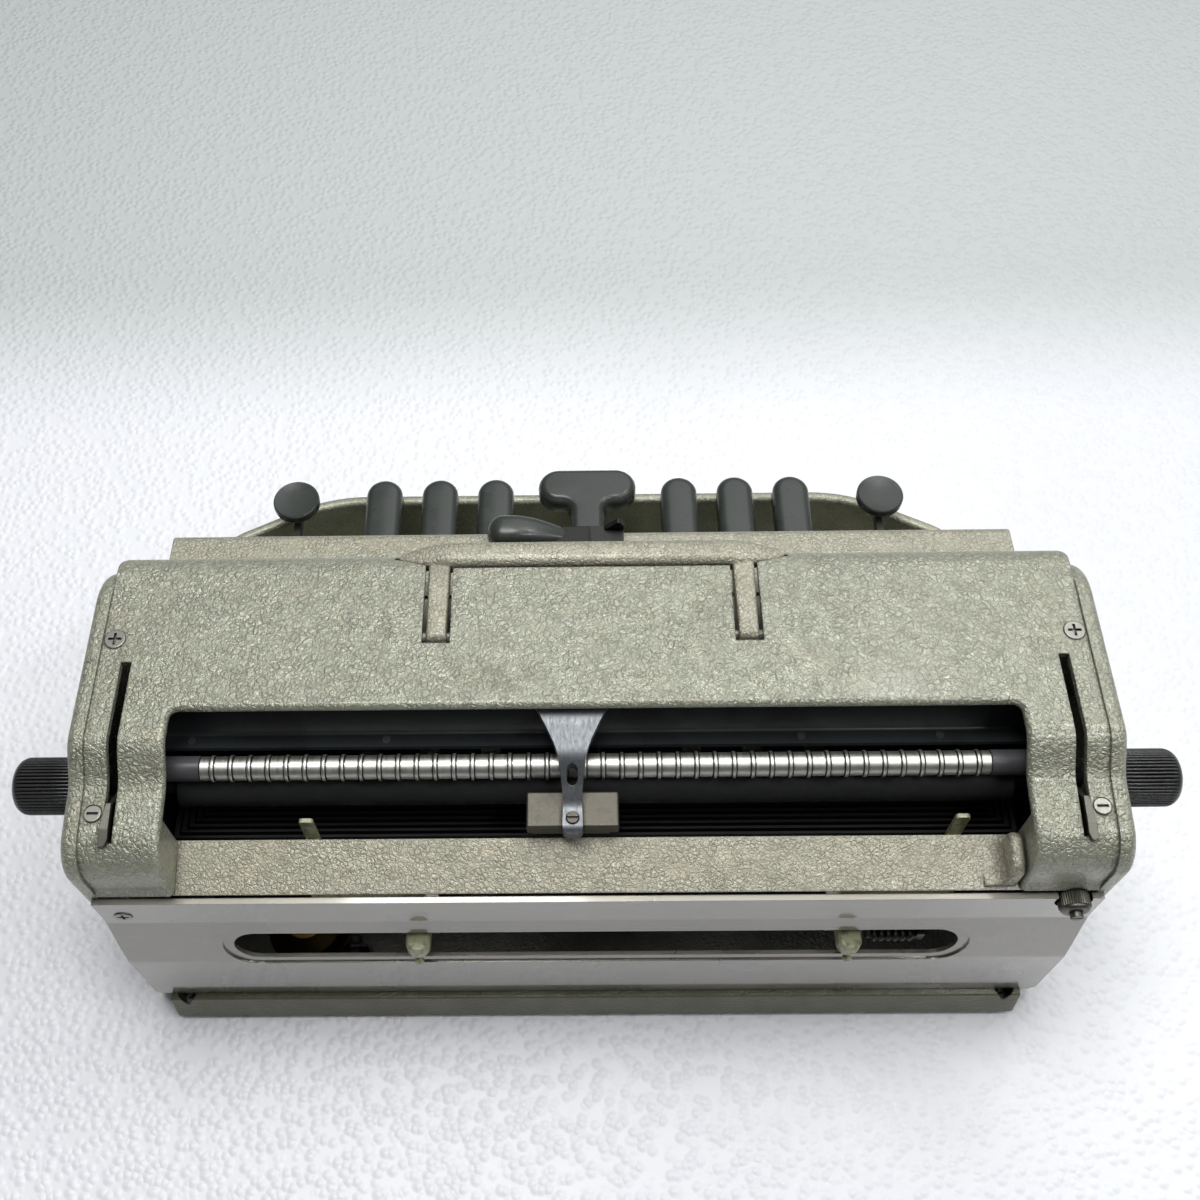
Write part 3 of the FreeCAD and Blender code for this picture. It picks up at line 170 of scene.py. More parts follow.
def crevices(tree, reach, start=0.45, end=0.92):
    """Mask for painted shade: 1 deep in corners and gaps closer than reach, 0 in the open."""
    open_sky = put(tree, "ShaderNodeAmbientOcclusion", {"Distance": reach}, samples=3).outputs["AO"]
    return step(tree, open_sky, start, end, 1.0, 0.0)


def raise_surface(tree, shader, height, depth, strength=1.0, edge=0.0):
    """Bump of a depth in metres; edge is the radius that softens the solid's own edges."""
    bump = put(tree, "ShaderNodeBump", {"Height": height, "Distance": depth, "Strength": strength})
    if edge:
        rounded = put(tree, "ShaderNodeBevel", {"Radius": edge}, samples=4).outputs[0]
        tree.links.new(rounded, bump.inputs["Normal"])
    tree.links.new(bump.outputs[0], shader.inputs["Normal"])


def set_coat(shader, weight, rough):
    """Clear lacquer over the paint."""
    shader.inputs["Coat Weight"].default_value = weight
    shader.inputs["Coat Roughness"].default_value = rough


def colour(hexadecimal):
    """Linear colour of a screen colour written as RRGGBB."""
    parts = np.array([int(hexadecimal[i:i + 2], 16) for i in (0, 2, 4)]) / 255.0
    linear = np.where(parts <= 0.04045, parts / 12.92, ((parts + 0.055) / 1.055) ** 2.4)
    return (*linear, 1.0)


def scaled(tone, *factors):
    """A colour times one factor, or times one factor for each channel."""
    red, green, blue = factors if len(factors) == 3 else factors * 3
    return (tone[0] * red, tone[1] * green, tone[2] * blue, 1.0)


print("pattern helpers ready")

# %% [markdown]
# ## Hammertone enamel in relief
# The case is painted with hammertone: a thick enamel that gathers into soft pebbles with
# fine creases between them.  Voronoi cells give the pebbles, but bare cells look like
# crazy paving.  So their coordinates are first pushed about by noise, smaller cells break
# up their tops, and a second noise lets the creases fade in places.

# %% Pebbles
def pushed(tree, place, size, amount):
    """Coordinates moved by noise of the given size, by up to half the amount."""
    wander = noise(tree, place, size).outputs["Color"]
    centred = put(tree, "ShaderNodeVectorMath", {0: wander, 1: (0.5, 0.5, 0.5)}, operation="SUBTRACT")
    drift = {0: centred.outputs[0], "Scale": amount}
    moved = put(tree, "ShaderNodeVectorMath", drift, operation="SCALE").outputs[0]
    return put(tree, "ShaderNodeVectorMath", {0: place, 1: moved}, operation="ADD").outputs[0]


def pebble_pattern(tree, place, pebble):
    """Height, warped coordinates, distance to the crease and fading mask of pebbles of a size."""
    warped = pushed(tree, pushed(tree, place, pebble * 1.3, pebble * 0.7), pebble * 0.55, pebble * 0.50)
    edge = cells(tree, warped, pebble, "DISTANCE_TO_EDGE").outputs["Distance"]
    plateau = step(tree, edge, 0.0, 0.30, 0.0, 0.75)
    crumb = cells(tree, warped, pebble * 0.46, "DISTANCE_TO_EDGE").outputs["Distance"]
    crumbs = step(tree, crumb, 0.0, 0.25, 0.0, 0.30)
    fading = patches(tree, place, pebble * 2.2, (0.36, 0.60), (0.55, 1.0), 2.0)
    ripple = noise(tree, warped, pebble * 0.5).outputs["Fac"]
    swell = sums(tree, "MULTIPLY", noise(tree, place, pebble * 2.6).outputs["Fac"], 0.7)
    rolled = put(tree, "ShaderNodeMath", {0: ripple, 1: 0.30, 2: swell}, operation="MULTIPLY_ADD").outputs[0]
    tops = sums(tree, "ADD", sums(tree, "MULTIPLY", plateau, fading), crumbs)
    return sums(tree, "ADD", rolled, tops), warped, edge, fading


print("pebbles ready")

# %% [markdown]
# ## Hammertone enamel in colour
# Each pebble has a tone of its own over broader patches.  Smears and specks are darkened
# by dirt, which tells an old case from a new one; creases and corners get painted shade.

# %% Hammertone
SOIL = colour("5a5640")
SPECK = colour("4a4636")
# Colour of the painted shade in corners and gaps.
CORNER_SHADE = colour("2e2b1f")


def weathered(tree, place, base):
    """A colour with cloudy smears of dirt and a scatter of dark specks."""
    smear = patches(tree, place, 22 * MM, (0.56, 0.70), (0.0, 0.30), 6.0, 0.72)
    base = blended(tree, smear, base, SOIL)
    speck = patches(tree, place, 2.0 * MM, (0.735, 0.78), detail=4.0, rough=0.62)
    return blended(tree, sums(tree, "MULTIPLY", speck, 0.5), base, SPECK)


def shaded_inside(tree, place, base, light, well, strip):
    """Painted shade: near black beyond the key well's end in Y, dark olive beyond the rear strip's."""
    # Painted shade: near black inside the well, dark olive on the rear strip.
    base = blended(tree, step(tree, along_y(tree, place), well - 25 * MM, well), base, scaled(light, 0.05))
    strip_shade = scaled(light, 0.33, 0.32, 0.27)
    return blended(tree, step(tree, along_y(tree, place), strip - 2 * MM, strip), base, strip_shade)


def hammertone(name, pebble, light, crease, relief, rough=0.42, crease_shade=0.42, shaded=None):
    """Pebbled enamel: pebble is one blob's size and relief its depth, both in metres."""
    material, tree, shader, place = new_material(name)
    height, warped, edge, fading = pebble_pattern(tree, place, pebble)
    broad = patches(tree, place, 30 * MM, (0.35, 0.68), rough=0.6)
    base = blended(tree, broad, scaled(light, 0.93), light)
    rosy = patches(tree, place, 9 * MM, (0.5, 0.7), (0.0, 0.7))
    base = blended(tree, rosy, base, scaled(light, 1.04, 0.97, 0.93))
    shade = cells(tree, warped, pebble, "F1").outputs["Color"]
    base = blended(tree, step(tree, shade, 0.2, 0.8, 0.0, 0.8), base, scaled(light, 0.86))
    # Painted shade along the creases between pebbles.
    valley = step(tree, edge, 0.0, 0.10, crease_shade, 0.0)
    base = blended(tree, sums(tree, "MULTIPLY", valley, fading), base, crease)
    base = weathered(tree, place, base)
    if shaded:
        base = shaded_inside(tree, place, base, light, *shaded)
    # Painted shade: the colour darkens in corners and gaps.
    corner_shade = sums(tree, "MULTIPLY", crevices(tree, 2.5 * MM), 0.55)
    tree.links.new(blended(tree, corner_shade, base, CORNER_SHADE), shader.inputs["Base Color"])
    raise_surface(tree, shader, height, relief, edge=0.9 * MM)
    gloss = patches(tree, place, 12 * MM, (0.3, 0.7), (rough - 0.06, rough + 0.08))
    tree.links.new(gloss, shader.inputs["Roughness"])
    shader.inputs["Metallic"].default_value = 0.5
    set_coat(shader, 0.3, 0.14)
    return material


SAGE = colour("a9aa99")
SAGE_CREASE = colour("57543f")
WELL_END = -60 * MM                  # Y where the tray runs in under the front cover
STRIP_START = 104 * MM               # Y of the tray's rear strip
cover_enamel = hammertone("cover_enamel", 2.3 * MM, SAGE, SAGE_CREASE, 0.34 * MM)
fine_enamel = hammertone("fine_enamel", 1.7 * MM, colour("b3b09e"), SAGE_CREASE, 0.22 * MM, 0.46, 0.6)
# The tray's enamel carries painted shade inside the well and on the rear strip.
base_enamel = hammertone("base_enamel", 2.2 * MM, colour("a4a592"), colour("55563f"), 0.14 * MM,
                         shaded=(WELL_END, STRIP_START))
print("hammertone in three grains")

# %% [markdown]
# ## Smooth satin enamel
# The rear panel is painted in a plain grey that has been rubbed and scratched for years:
# long faint scratches along X, a few short chips, and a gloss that changes in patches.

# %% Panel enamel
def panel_enamel():
    """Grey satin enamel with fine scratches."""
    material, tree, shader, place = new_material("panel_enamel")
    hair = patches(tree, stretched(tree, place, (0.04, 1.0, 1.0)), 0.5 * MM, (0.60, 0.72), rough=0.6)
    patch = patches(tree, place, 45 * MM, (0.35, 0.68))
    tone = blended(tree, patch, colour("7c786f"), colour("88847a"))
    scratched = blended(tree, sums(tree, "MULTIPLY", hair, 0.25), tone, colour("b2b0a9"))
    short = stretched(tree, place, (0.3, 1.0, 1.0))
    chips = patches(tree, short, 1.5 * MM, (0.72, 0.75), detail=4.0, rough=0.6)
    marked = blended(tree, sums(tree, "MULTIPLY", chips, 0.6), scratched, colour("4c4a42"))
    # Painted shade: the colour darkens in corners and gaps.
    corner_shade = sums(tree, "MULTIPLY", crevices(tree, 2.0 * MM, 0.35, 0.8), 0.8)
    tree.links.new(blended(tree, corner_shade, marked, colour("23211b")), shader.inputs["Base Color"])
    tree.links.new(step(tree, patch, 0.0, 1.0, 0.26, 0.36), shader.inputs["Roughness"])
    orange_peel = noise(tree, place, 1.6 * MM).outputs["Fac"]
    raise_surface(tree, shader, orange_peel, 0.03 * MM, 0.5, 0.4 * MM)
    shader.inputs["Metallic"].default_value = 0.6
    set_coat(shader, 1.0, 0.06)
    return material


panel_grey = panel_enamel()
print("panel enamel ready")

# %% [markdown]
# ## Moulded plastics
# Keys, grip and knobs are moulded in dark grey, polished by fingers, so their gloss is high
# and varies in smudges.  The drum and the feet are dull rubber.

# %% Plastics and rubber
def moulded(name, tone, rough, smear, grain=0.02 * MM, flutes=0.0):
    """Moulded plastic or rubber: smudges in its gloss, a fine grain, painted shade in flutes."""
    material, tree, shader, place = new_material(name)
    smudge = patches(tree, place, 9 * MM, (0.35, 0.7), detail=4.0)
    face = blended(tree, smudge, tone, scaled(tone, 1.1))
    # Painted shade: near black deep in the flutes.
    if flutes:
        face = blended(tree, crevices(tree, flutes, 0.55, 0.98), face, colour("050505"))
    tree.links.new(face, shader.inputs["Base Color"])
    tree.links.new(step(tree, smudge, 0.0, 1.0, rough, rough + smear), shader.inputs["Roughness"])
    raise_surface(tree, shader, noise(tree, place, 0.7 * MM).outputs["Fac"], grain, 0.5)
    return material


key_plastic = moulded("key_plastic", colour("333733"), 0.26, 0.08)
knob_plastic = moulded("knob_plastic", colour("2c2d2b"), 0.24, 0.06, flutes=1.0 * MM)
drum_rubber = moulded("drum_rubber", colour("0f1011"), 0.6, 0.2, 0.05 * MM)
foot_rubber = moulded("foot_rubber", colour("242424"), 0.7, 0.2, 0.05 * MM)
sleeve_grey = moulded("sleeve_grey", colour("454547"), 0.34, 0.1)
print("plastics ready")

# %% [markdown]
# ## Steels
# Turned and ground steel keeps the marks of the tool: fine lines that run round the roller
# and along the pressed parts.  Stretching noise along one axis draws such lines.

# %% Steels
def steel(name, tone, rough, lines, stain, metallic=1.0, spot=3.5 * MM):
    """Worked metal; lines gives the stretch of the tool marks along each axis."""
    material, tree, shader, place = new_material(name)
    marks = noise(tree, stretched(tree, place, lines), 0.35 * MM, 3.0, 0.6).outputs["Fac"]
    spots = patches(tree, place, spot, (0.52, 0.72), detail=5.0, rough=0.62)
    spotted = blended(tree, sums(tree, "MULTIPLY", spots, stain), tone, scaled(tone, 0.5))
    # Painted shade: the colour darkens in corners and gaps.
    corner_shaded = blended(tree, crevices(tree, 1.6 * MM, 0.45, 0.9), spotted, scaled(tone, 0.12))
    tree.links.new(corner_shaded, shader.inputs["Base Color"])
    tree.links.new(step(tree, marks, 0.3, 0.7, rough - 0.05, rough + 0.1), shader.inputs["Roughness"])
    raise_surface(tree, shader, marks, 0.03 * MM, 0.35, 0.25 * MM)
    shader.inputs["Metallic"].default_value = metallic
    return material


EVEN = (1.0, 1.0, 1.0)
ALONG_X = (0.05, 1.0, 1.0)
roller_steel = steel("roller_steel", colour("d0d0c8"), 0.40, (1.0, 0.02, 0.02), 0.12)
bright_steel = steel("bright_steel", colour("7c7f82"), 0.48, (0.5, 0.05, 0.5), 0.6, 0.85, 1.5 * MM)
nickel = steel("nickel", colour("605d55"), 0.50, EVEN, 0.3)
plain_steel = steel("plain_steel", colour("6c6b63"), 0.42, ALONG_X, 0.4)
wire_steel = steel("wire_steel", colour("3a3a38"), 0.4, EVEN, 0.3)
brass = steel("brass", colour("40341c"), 0.35, (1.0, 1.0, 0.1), 0.4)
oxide_steel = steel("oxide_steel", colour("040405"), 0.7, ALONG_X, 0.4, 0.2)
chrome = steel("chrome", colour("94928a"), 0.32, EVEN, 0.3, 0.7)
print("steels ready")

# %% [markdown]
# ## Inner paint and the margin stops' cream
# The works inside are lacquered black, and the guide for the paper a dark blue-grey.  The
# margin stops are dipped in a cream paint that is worn and darker in patches.

# %% Paints
def paint(name, tone, worn, rough, patch=6 * MM):
    """Brushed or dipped paint with darker worn patches."""
    material, tree, shader, place = new_material(name)
    mask = patches(tree, place, patch, (0.48, 0.68), detail=4.0, rough=0.6)
    tree.links.new(blended(tree, mask, tone, worn), shader.inputs["Base Color"])
    tree.links.new(step(tree, mask, 0.0, 1.0, rough, rough + 0.12), shader.inputs["Roughness"])
    raise_surface(tree, shader, noise(tree, place, 1.8 * MM).outputs["Fac"], 0.05 * MM, 0.5)
    set_coat(shader, 0.2, 0.2)
    return material


inner_black = paint("inner_black", colour("060708"), colour("0b0c0e"), 0.4)
guide_blue = paint("guide_blue", colour("2a2e30"), colour("1d2022"), 0.42, 30 * MM)
cream = paint("cream", colour("a3a482"), colour("6e6d50"), 0.35, 3 * MM)
print("paints ready")

# %% [markdown]
# ## Giving the CAD nodes their finish
# Each solid keeps its own mesh and gets one material.  The nodes that a later cell
# replaces are dressed too, so that the list below is the whole machine.

# %% Assign the finishes
DOTS = range(1, 7)


def each_dot(pattern):
    """The six names that a pattern gives."""
    return [pattern % dot for dot in DOTS]


FINISHES = [
    (cover_enamel, ["top_cover", "right_side_plate", "left_side_plate"]),
    (fine_enamel, ["reading_rest", "front_panel", "carrying_handle"]),
    (base_enamel, ["base_tray"]),
    (panel_grey, ["rear_panel"]),
    (key_plastic, ["space_cap", "backspace_key", "line_space_key", "carriage_grip"] + each_dot("dot_%d_cap")),
    (knob_plastic, ["feed_knobs"]),
    (drum_rubber, ["feed_drum"]),
    (foot_rubber, ["rubber_feet"]),
    (sleeve_grey, ["roller_sleeves"]),
    (roller_steel, ["grooved_roller"]),
    (bright_steel, ["embossing_yoke", "carriage_rails"]),
    (nickel, ["die_block"]),
    (chrome, ["case_screws"]),
    (plain_steel, ["thumb_nut", "space_lever", "right_release_lever", "left_release_lever"]),
    (plain_steel, each_dot("dot_%d_lever")),
    (oxide_steel, ["escapement_rack", "key_shaft", "bail_shaft", "margin_rail", "bell_hammer"]),
    (oxide_steel, ["spring_barrel"] + each_dot("dot_%d_bail")),
    (wire_steel, ["key_springs", "margin_spring", "carriage_lever"]),
    (brass, ["bell", "pin_head"]),
    (inner_black, ["right_frame", "left_frame", "carriage_frame"]),
    (guide_blue, ["paper_guide"]),
    (cream, ["right_margin_stop", "left_margin_stop"]),
]
for material, names in FINISHES:
    for name in names:
        mesh = PARTS[name].data
        mesh.materials.clear()
        mesh.materials.append(material)
undressed = set(PARTS) - {name for _, names in FINISHES for name in names}
print("finishes given to", len(PARTS), "nodes; left over:", sorted(undressed))

# %% [markdown]
# ## Surfaces from arrays
# A knob, a roller and a key cap are all skins: one closed section at every level of the
# piece, held as a (levels, count, 3) array.  Modifiers or hand modelling could make them
# too, but an array keeps each size a named number, and its own order says which points
# make a face.

# %% Mesh helpers
def skin(rings):
    """Points and faces of a tube through rings of equal count, shut at both ends."""
    levels, count, _ = rings.shape
    here = np.arange(levels * count).reshape(levels, count)
    beside = np.roll(here, -1, axis=1)
    quads = np.stack([here[:-1], beside[:-1], beside[1:], here[1:]], axis=-1).reshape(-1, 4)
    return rings.reshape(-1, 3), quads.tolist() + [here[0][::-1].tolist(), here[-1].tolist()]


def extent(mesh):
    """Smallest and largest corner of a mesh, in millimetres."""
    points = np.empty(len(mesh.vertices) * 3, dtype=np.float32)
    mesh.vertices.foreach_get("co", points)
    points = points.reshape(-1, 3).astype(float) / MM
    return np.round([points.min(axis=0), points.max(axis=0)], 1).tolist()


def mesh_piece(name, body, material, skins, replaces, sharp=32.0):
    """One piece from skins in millimetres: doubles merged, faces turned outward, edges kept crisp."""
    shell = bmesh.new()
    for points, faces in skins:
        mesh = bpy.data.meshes.new("skin")
        mesh.from_pydata((points * MM).tolist(), [], faces)
        shell.from_mesh(mesh)
        bpy.data.meshes.remove(mesh)
    bmesh.ops.remove_doubles(shell, verts=shell.verts, dist=0.002 * MM)
    bmesh.ops.recalc_face_normals(shell, faces=shell.faces)
    mesh = bpy.data.meshes.new(name)
    shell.to_mesh(mesh)
    shell.free()
    mesh.shade_smooth()
    mesh.set_sharp_from_angle(angle=math.radians(sharp))
    mesh.materials.append(material)
    piece = bpy.data.objects.new(name, mesh)
    bpy.context.scene.collection.objects.link(piece)
    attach(piece, body)
    for node in replaces:
        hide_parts(node)
    print(name, len(mesh.polygons), "faces, box in mm", extent(mesh))
    return piece


def turned(x, radius, centre, angles):
    """Rings about an axis along X: each level has its own x and a radius for every angle."""
    y = centre[0] + radius * np.cos(angles)
    z = centre[1] + radius * np.sin(angles)
    return np.stack([np.broadcast_to(x[:, None], y.shape), y, z], axis=-1)


def corners_of(node):
    """Lowest and highest corner of a node's box, in millimetres."""
    low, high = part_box(node)
    return np.array(low) / MM, np.array(high) / MM


def middle(node):
    """Y and Z of the middle of a node's box, in millimetres."""
    low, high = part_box(node)
    return (low.y + high.y) / 2 / MM, (low.z + high.z) / 2 / MM


print("mesh helpers ready")

# %% [markdown]
# ## Ribbed feed knobs
# The paper is wound in with two black knobs whose fine ribs run out over a rounded end.
# A gear-like prism would need a cut for every rib.  Here the radius is simply the smaller
# of two functions: the knob's turned envelope along X, and the ribbed circle around it.

# %% Knobs
KNOB_R = 10.1
KNOB_END = 201.8
KNOB_ROUND = 4.6
DISH_R = 5.0
DISH_DEPTH = 0.15
RIBS = 48
RIB_DEPTH = 0.85
POINTS_PER_RIB = 8
CREST_POWER = 0.45                   # below 1, it makes the ribs broad and the flutes narrow


def ribbed_knob(side):
    """radius(x, a) = the smaller of envelope(x) and R - depth * (1 - |cos(24 a)| ^ 0.45)."""
    angles = np.linspace(0.0, 2 * math.pi, RIBS * POINTS_PER_RIB, endpoint=False)
    collar = np.array([(175.4, 3.0), (175.4, 7.0), (176.2, 7.0)])
    barrel = np.array([(176.2, 9.2), (176.35, 9.8), (176.8, KNOB_R), (187.0, KNOB_R)])
    arc = np.linspace(0.0, math.pi / 2, 9)
    rounding_x = KNOB_END - KNOB_ROUND + KNOB_ROUND * np.sin(arc)
    rounding_r = KNOB_R - KNOB_ROUND + KNOB_ROUND * np.cos(arc)
    dish = np.array([(KNOB_END - DISH_DEPTH, DISH_R), (KNOB_END - DISH_DEPTH, 0.4)])
    profile = np.concatenate([collar, barrel, np.stack([rounding_x, rounding_r], axis=1), dish])
    ribs = KNOB_R - RIB_DEPTH * (1.0 - np.abs(np.cos(angles * RIBS / 2)) ** CREST_POWER)
    radius = np.minimum(profile[:, 1:], ribs[None, :])
    return skin(turned(side * profile[:, 0], radius, middle("feed_knobs"), angles))


knob_skins = [ribbed_knob(1), ribbed_knob(-1)]
mesh_piece("ribbed_knobs", "paper_feed", knob_plastic, knob_skins, ["feed_knobs"], 60.0)

# %% [markdown]
# ## The ringed roller
# The pressure roller carries a raised ring at every braille cell, with a fine dark groove
# turned on each side of it.  It is one profile revolved about the roller's axis.

# %% Roller
CELL = 6.35
RINGS = 44
ROLLER_END = 134.35
CORE_R = 4.15
GROOVE_R = 3.70
SHOULDER_R = 4.50
RING_R = 4.60
STUB_END = 151.0
STUB_R = 2.2
ROLLER_SIDES = 40


def ringed_roller():
    """One cell's profile (offset, radius), set down at every ring, then turned about the axis."""
    half = np.array([(0.40, RING_R), (0.56, SHOULDER_R), (0.64, GROOVE_R), (0.94, GROOVE_R), (1.00, CORE_R)])
    offsets = np.concatenate([-half[::-1, 0], half[:, 0]])
    heights = np.concatenate([half[::-1, 1], half[:, 1]])
    centres = (np.arange(RINGS) - (RINGS - 1) / 2) * CELL
    x = (centres[:, None] + offsets[None, :]).ravel()
    radius = np.tile(heights, RINGS)
    keep = np.abs(x) < ROLLER_END - 0.2
    ends_x = np.array([STUB_END, STUB_END, ROLLER_END, ROLLER_END])
    ends_r = np.array([0.1, STUB_R, STUB_R, CORE_R])
    x = np.concatenate([-ends_x, x[keep], ends_x[::-1]])
    radius = np.concatenate([ends_r, radius[keep], ends_r[::-1]])
    angles = np.linspace(0.0, 2 * math.pi, ROLLER_SIDES, endpoint=False)
    radii = np.broadcast_to(radius[:, None], (len(x), ROLLER_SIDES))
    return skin(turned(x, radii, middle("grooved_roller"), angles))


roller_skins = [ringed_roller()]
mesh_piece("ringed_roller", "pressure_roller", roller_steel, roller_skins, ["grooved_roller"])

# %% [markdown]
# ## Key caps
# The six dot keys have finger-shaped caps of glossy moulded plastic, crowned across their
# width and rounded at the tip.  Every level of a cap is the same outline moved inwards, so
# height is a function of the distance from the edge and nothing else.

# %% Dot key caps
CAP_TOP = 60.0
CAP_BASE = 51.0
CHAMFER = 0.25
CHAMFER_RISE = 0.4
EDGE_ROUND = 3.4
EDGE_FALL = EDGE_ROUND - 0.6         # the rim drops a little less than it runs in
CROWN = 0.9


def rim_insets():
    """How far in each ring lies: the chamfer below, the upright wall, then the rounded rim."""
    return np.concatenate([[CHAMFER, 0.0, 0.0], EDGE_ROUND * (1 - np.cos(np.linspace(0.1, math.pi / 2, 9)))])


def cap_levels(inset, half):
    """Two levels below, then a quarter-round rim and a crown falling as (1 - inset / half) squared."""
    inside = inset[2:]
    rim = 1.0 - np.sqrt(1.0 - (1.0 - np.minimum(inside / EDGE_ROUND, 1.0)) ** 2)
    top = CAP_TOP - EDGE_FALL * rim - CROWN * (1.0 - np.minimum(inside / half, 1.0)) ** 2
    return np.concatenate([[CAP_BASE, CAP_BASE + CHAMFER_RISE], top])


def finger_cap(node):
    """Half circle at the tip and straight sides to the rear; each ring is that outline moved in."""
    low, high = corners_of(node)
    x_mid, half = (low[0] + high[0]) / 2, (high[0] - low[0]) / 2
    inset = np.concatenate([rim_insets(), np.linspace(EDGE_ROUND + 0.7, half - 0.15, 6)])
    around = np.linspace(math.pi, 2 * math.pi, 25)
    radius = (half - inset)[:, None]
    x = x_mid + radius * np.cos(around)[None, :]
    y = low[1] + half + radius * np.sin(around)[None, :]
    x = np.concatenate([x, x[:, -1:], x[:, :1]], axis=1)
    y = np.concatenate([y, np.full((len(inset), 2), high[1])], axis=1)
    z = np.broadcast_to(cap_levels(inset, half)[:, None], x.shape)
    return skin(np.stack([x, y, z], axis=-1))


for dot in DOTS:
    node = "dot_%d_cap" % dot
    cap_skins = [finger_cap(node)]
    mesh_piece("crowned_cap_%d" % dot, "dot_%d_key" % dot, key_plastic, cap_skins, [node])

# %% [markdown]
# ## Space bar
# The space bar is a broad T that a thumb finds from either hand.  Its outline turns both
# ways, so each corner becomes an arc about its own centre, and moving the outline inwards
# makes the outer arcs shorter and the inner ones longer.

# %% Space bar
STEM_HALF = 7.5
HEAD_DEPTH = 18.4
HEAD_R = 9.15
NECK_R = 4.4
STEM_R = 3.45


def rounded_outline(corners, inset, samples=9):
    """Points centre + (inset - turn * radius) * normal, as the normal swings through each corner."""
    place, radius = corners[:, :2], corners[:, 2:]
    coming = place - np.roll(place, 1, axis=0)
    going = np.roll(coming, -1, axis=0)
    coming = coming / np.linalg.norm(coming, axis=1, keepdims=True)
    going = going / np.linalg.norm(going, axis=1, keepdims=True)
    cross = coming[:, :1] * going[:, 1:] - coming[:, 1:] * going[:, :1]
    swing = np.arctan2(cross, np.sum(coming * going, axis=1, keepdims=True))
    turn = np.sign(swing)
    left = np.stack([-coming[:, 1], coming[:, 0]], axis=1)
    centre = place - coming * radius * np.tan(np.abs(swing) / 2) + left * turn * radius
    angle = np.arctan2(left[:, 1:], left[:, :1]) + swing * np.linspace(0.0, 1.0, samples)
    reach = inset - turn * radius
    x = centre[:, :1] + reach * np.cos(angle)
    y = centre[:, 1:] + reach * np.sin(angle)
    return np.stack([x, y], axis=-1).reshape(-1, 2)


def space_bar():
    """T outline, counterclockwise, carried up with the same rounded rim as the dot keys."""
    low, high = corners_of("space_cap")
    front, rear, half = low[1], high[1], high[0]
    neck = front + HEAD_DEPTH
    corners = np.array([
        (-half, front, HEAD_R), (half, front, HEAD_R), (half, neck, HEAD_R),
        (STEM_HALF, neck, NECK_R), (STEM_HALF, rear, STEM_R), (-STEM_HALF, rear, STEM_R),
        (-STEM_HALF, neck, NECK_R), (-half, neck, HEAD_R),
    ])
    inset = rim_insets()
    rings = np.stack([rounded_outline(corners, value) for value in inset])
    levels = np.broadcast_to(cap_levels(inset, EDGE_ROUND)[:, None, None], rings.shape[:2] + (1,))
    return skin(np.concatenate([rings, levels], axis=-1))


mesh_piece("crowned_space_bar", "space_key", key_plastic, [space_bar()], ["space_cap"])

# %% [markdown]
# ## Tapered bars
# The carrying handle and the grip taper in plan and in height at once, which suits a
# section carried along a line.  A superellipse is round at power 2 and nearly square at
# power 6, so one function serves the round grip and the flat arms.

# %% Section carried along a line
def superellipse(power, samples=32):
    """Unit section: cosine and sine, each raised to 2 / power with its sign kept."""
    angle = np.linspace(0.0, 2 * math.pi, samples, endpoint=False)
    cosine, sine = np.cos(angle), np.sin(angle)
    return np.sign(cosine) * np.abs(cosine) ** (2 / power), np.sign(sine) * np.abs(sine) ** (2 / power)


def tapered_bar(along, middle_across, half_across, base, top, power, lengthwise="x"):
    """Superellipse sections set at right angles to X or Y, each with its own middle, width, base and top."""
    wide, high = superellipse(power)
    across = middle_across[:, None] + half_across[:, None] * wide
    height = (top + base)[:, None] / 2 + (top - base)[:, None] / 2 * high
    line = np.broadcast_to(along[:, None], height.shape)
    return skin(np.stack([line, across, height] if lengthwise == "x" else [across, line, height], axis=-1))


def closing(place, start, end, flatness):
    """1 up to the start, then the fall of a circle, sqrt(1 - flatness * share ^ 2), to the end."""
    return np.sqrt(1.0 - flatness * np.clip((place - start) / (end - start), 0.0, 1.0) ** 2)


print("section helpers ready")

# %% [markdown]
# ## Carrying handle
# The handle is a lens-shaped bar on two flat arms.  It folds down into the cover and turns
# on a pin through the end of each arm.

# %% Handle
BAR_REAR = -5.65
BAR_PARALLEL = 48.0                  # half length of the parallel stretch
ARM_X = 54.0
ARM_START = -11.0
ARM_Z = 141.8
PIVOT_Y = 21.45
PIVOT_Z = 142.0
PIN_R = 1.6
PIN_HALF = 8.0


def handle_bar():
    """Parallel in the middle; towards each tip the width shrinks as (1 - t ^ 2.3) ^ 0.7."""
    low, high = corners_of("carrying_handle")
    front, reach = low[1], high[0]
    x = reach * np.sin(np.linspace(-math.pi / 2, math.pi / 2, 73))
    t = np.clip((np.abs(x) - BAR_PARALLEL) / (reach - BAR_PARALLEL), 0.0, 1.0)
    half = np.maximum((BAR_REAR - front) / 2 * (1.0 - t ** 2.3) ** 0.70, 0.25)
    across = (front + BAR_REAR) / 2 + 0.35 * t
    return tapered_bar(x, across, half, low[2] + 3.4 * t ** 2, high[2] - 4.0 * t ** 1.6, 2.7)


def handle_arm(side):
    """Flat arm, slightly narrower towards the pivot, whose end falls away as a quarter circle."""
    end = corners_of("carrying_handle")[1][1]
    tip = PIVOT_Y + (end - PIVOT_Y) * np.sin(np.linspace(0.1, math.pi / 2, 8))
    y = np.concatenate([[ARM_START, -10.0, 5.0, 21.4], tip])
    thick = closing(y, PIVOT_Y, end, 0.98)
    half = 4.0 - 0.5 * (y - ARM_START) / 35.0
    across = np.full(len(y), side * ARM_X)
    return tapered_bar(y, across, half, ARM_Z - 2.2 * thick, ARM_Z + 3.5 * thick, 6.0, "y")


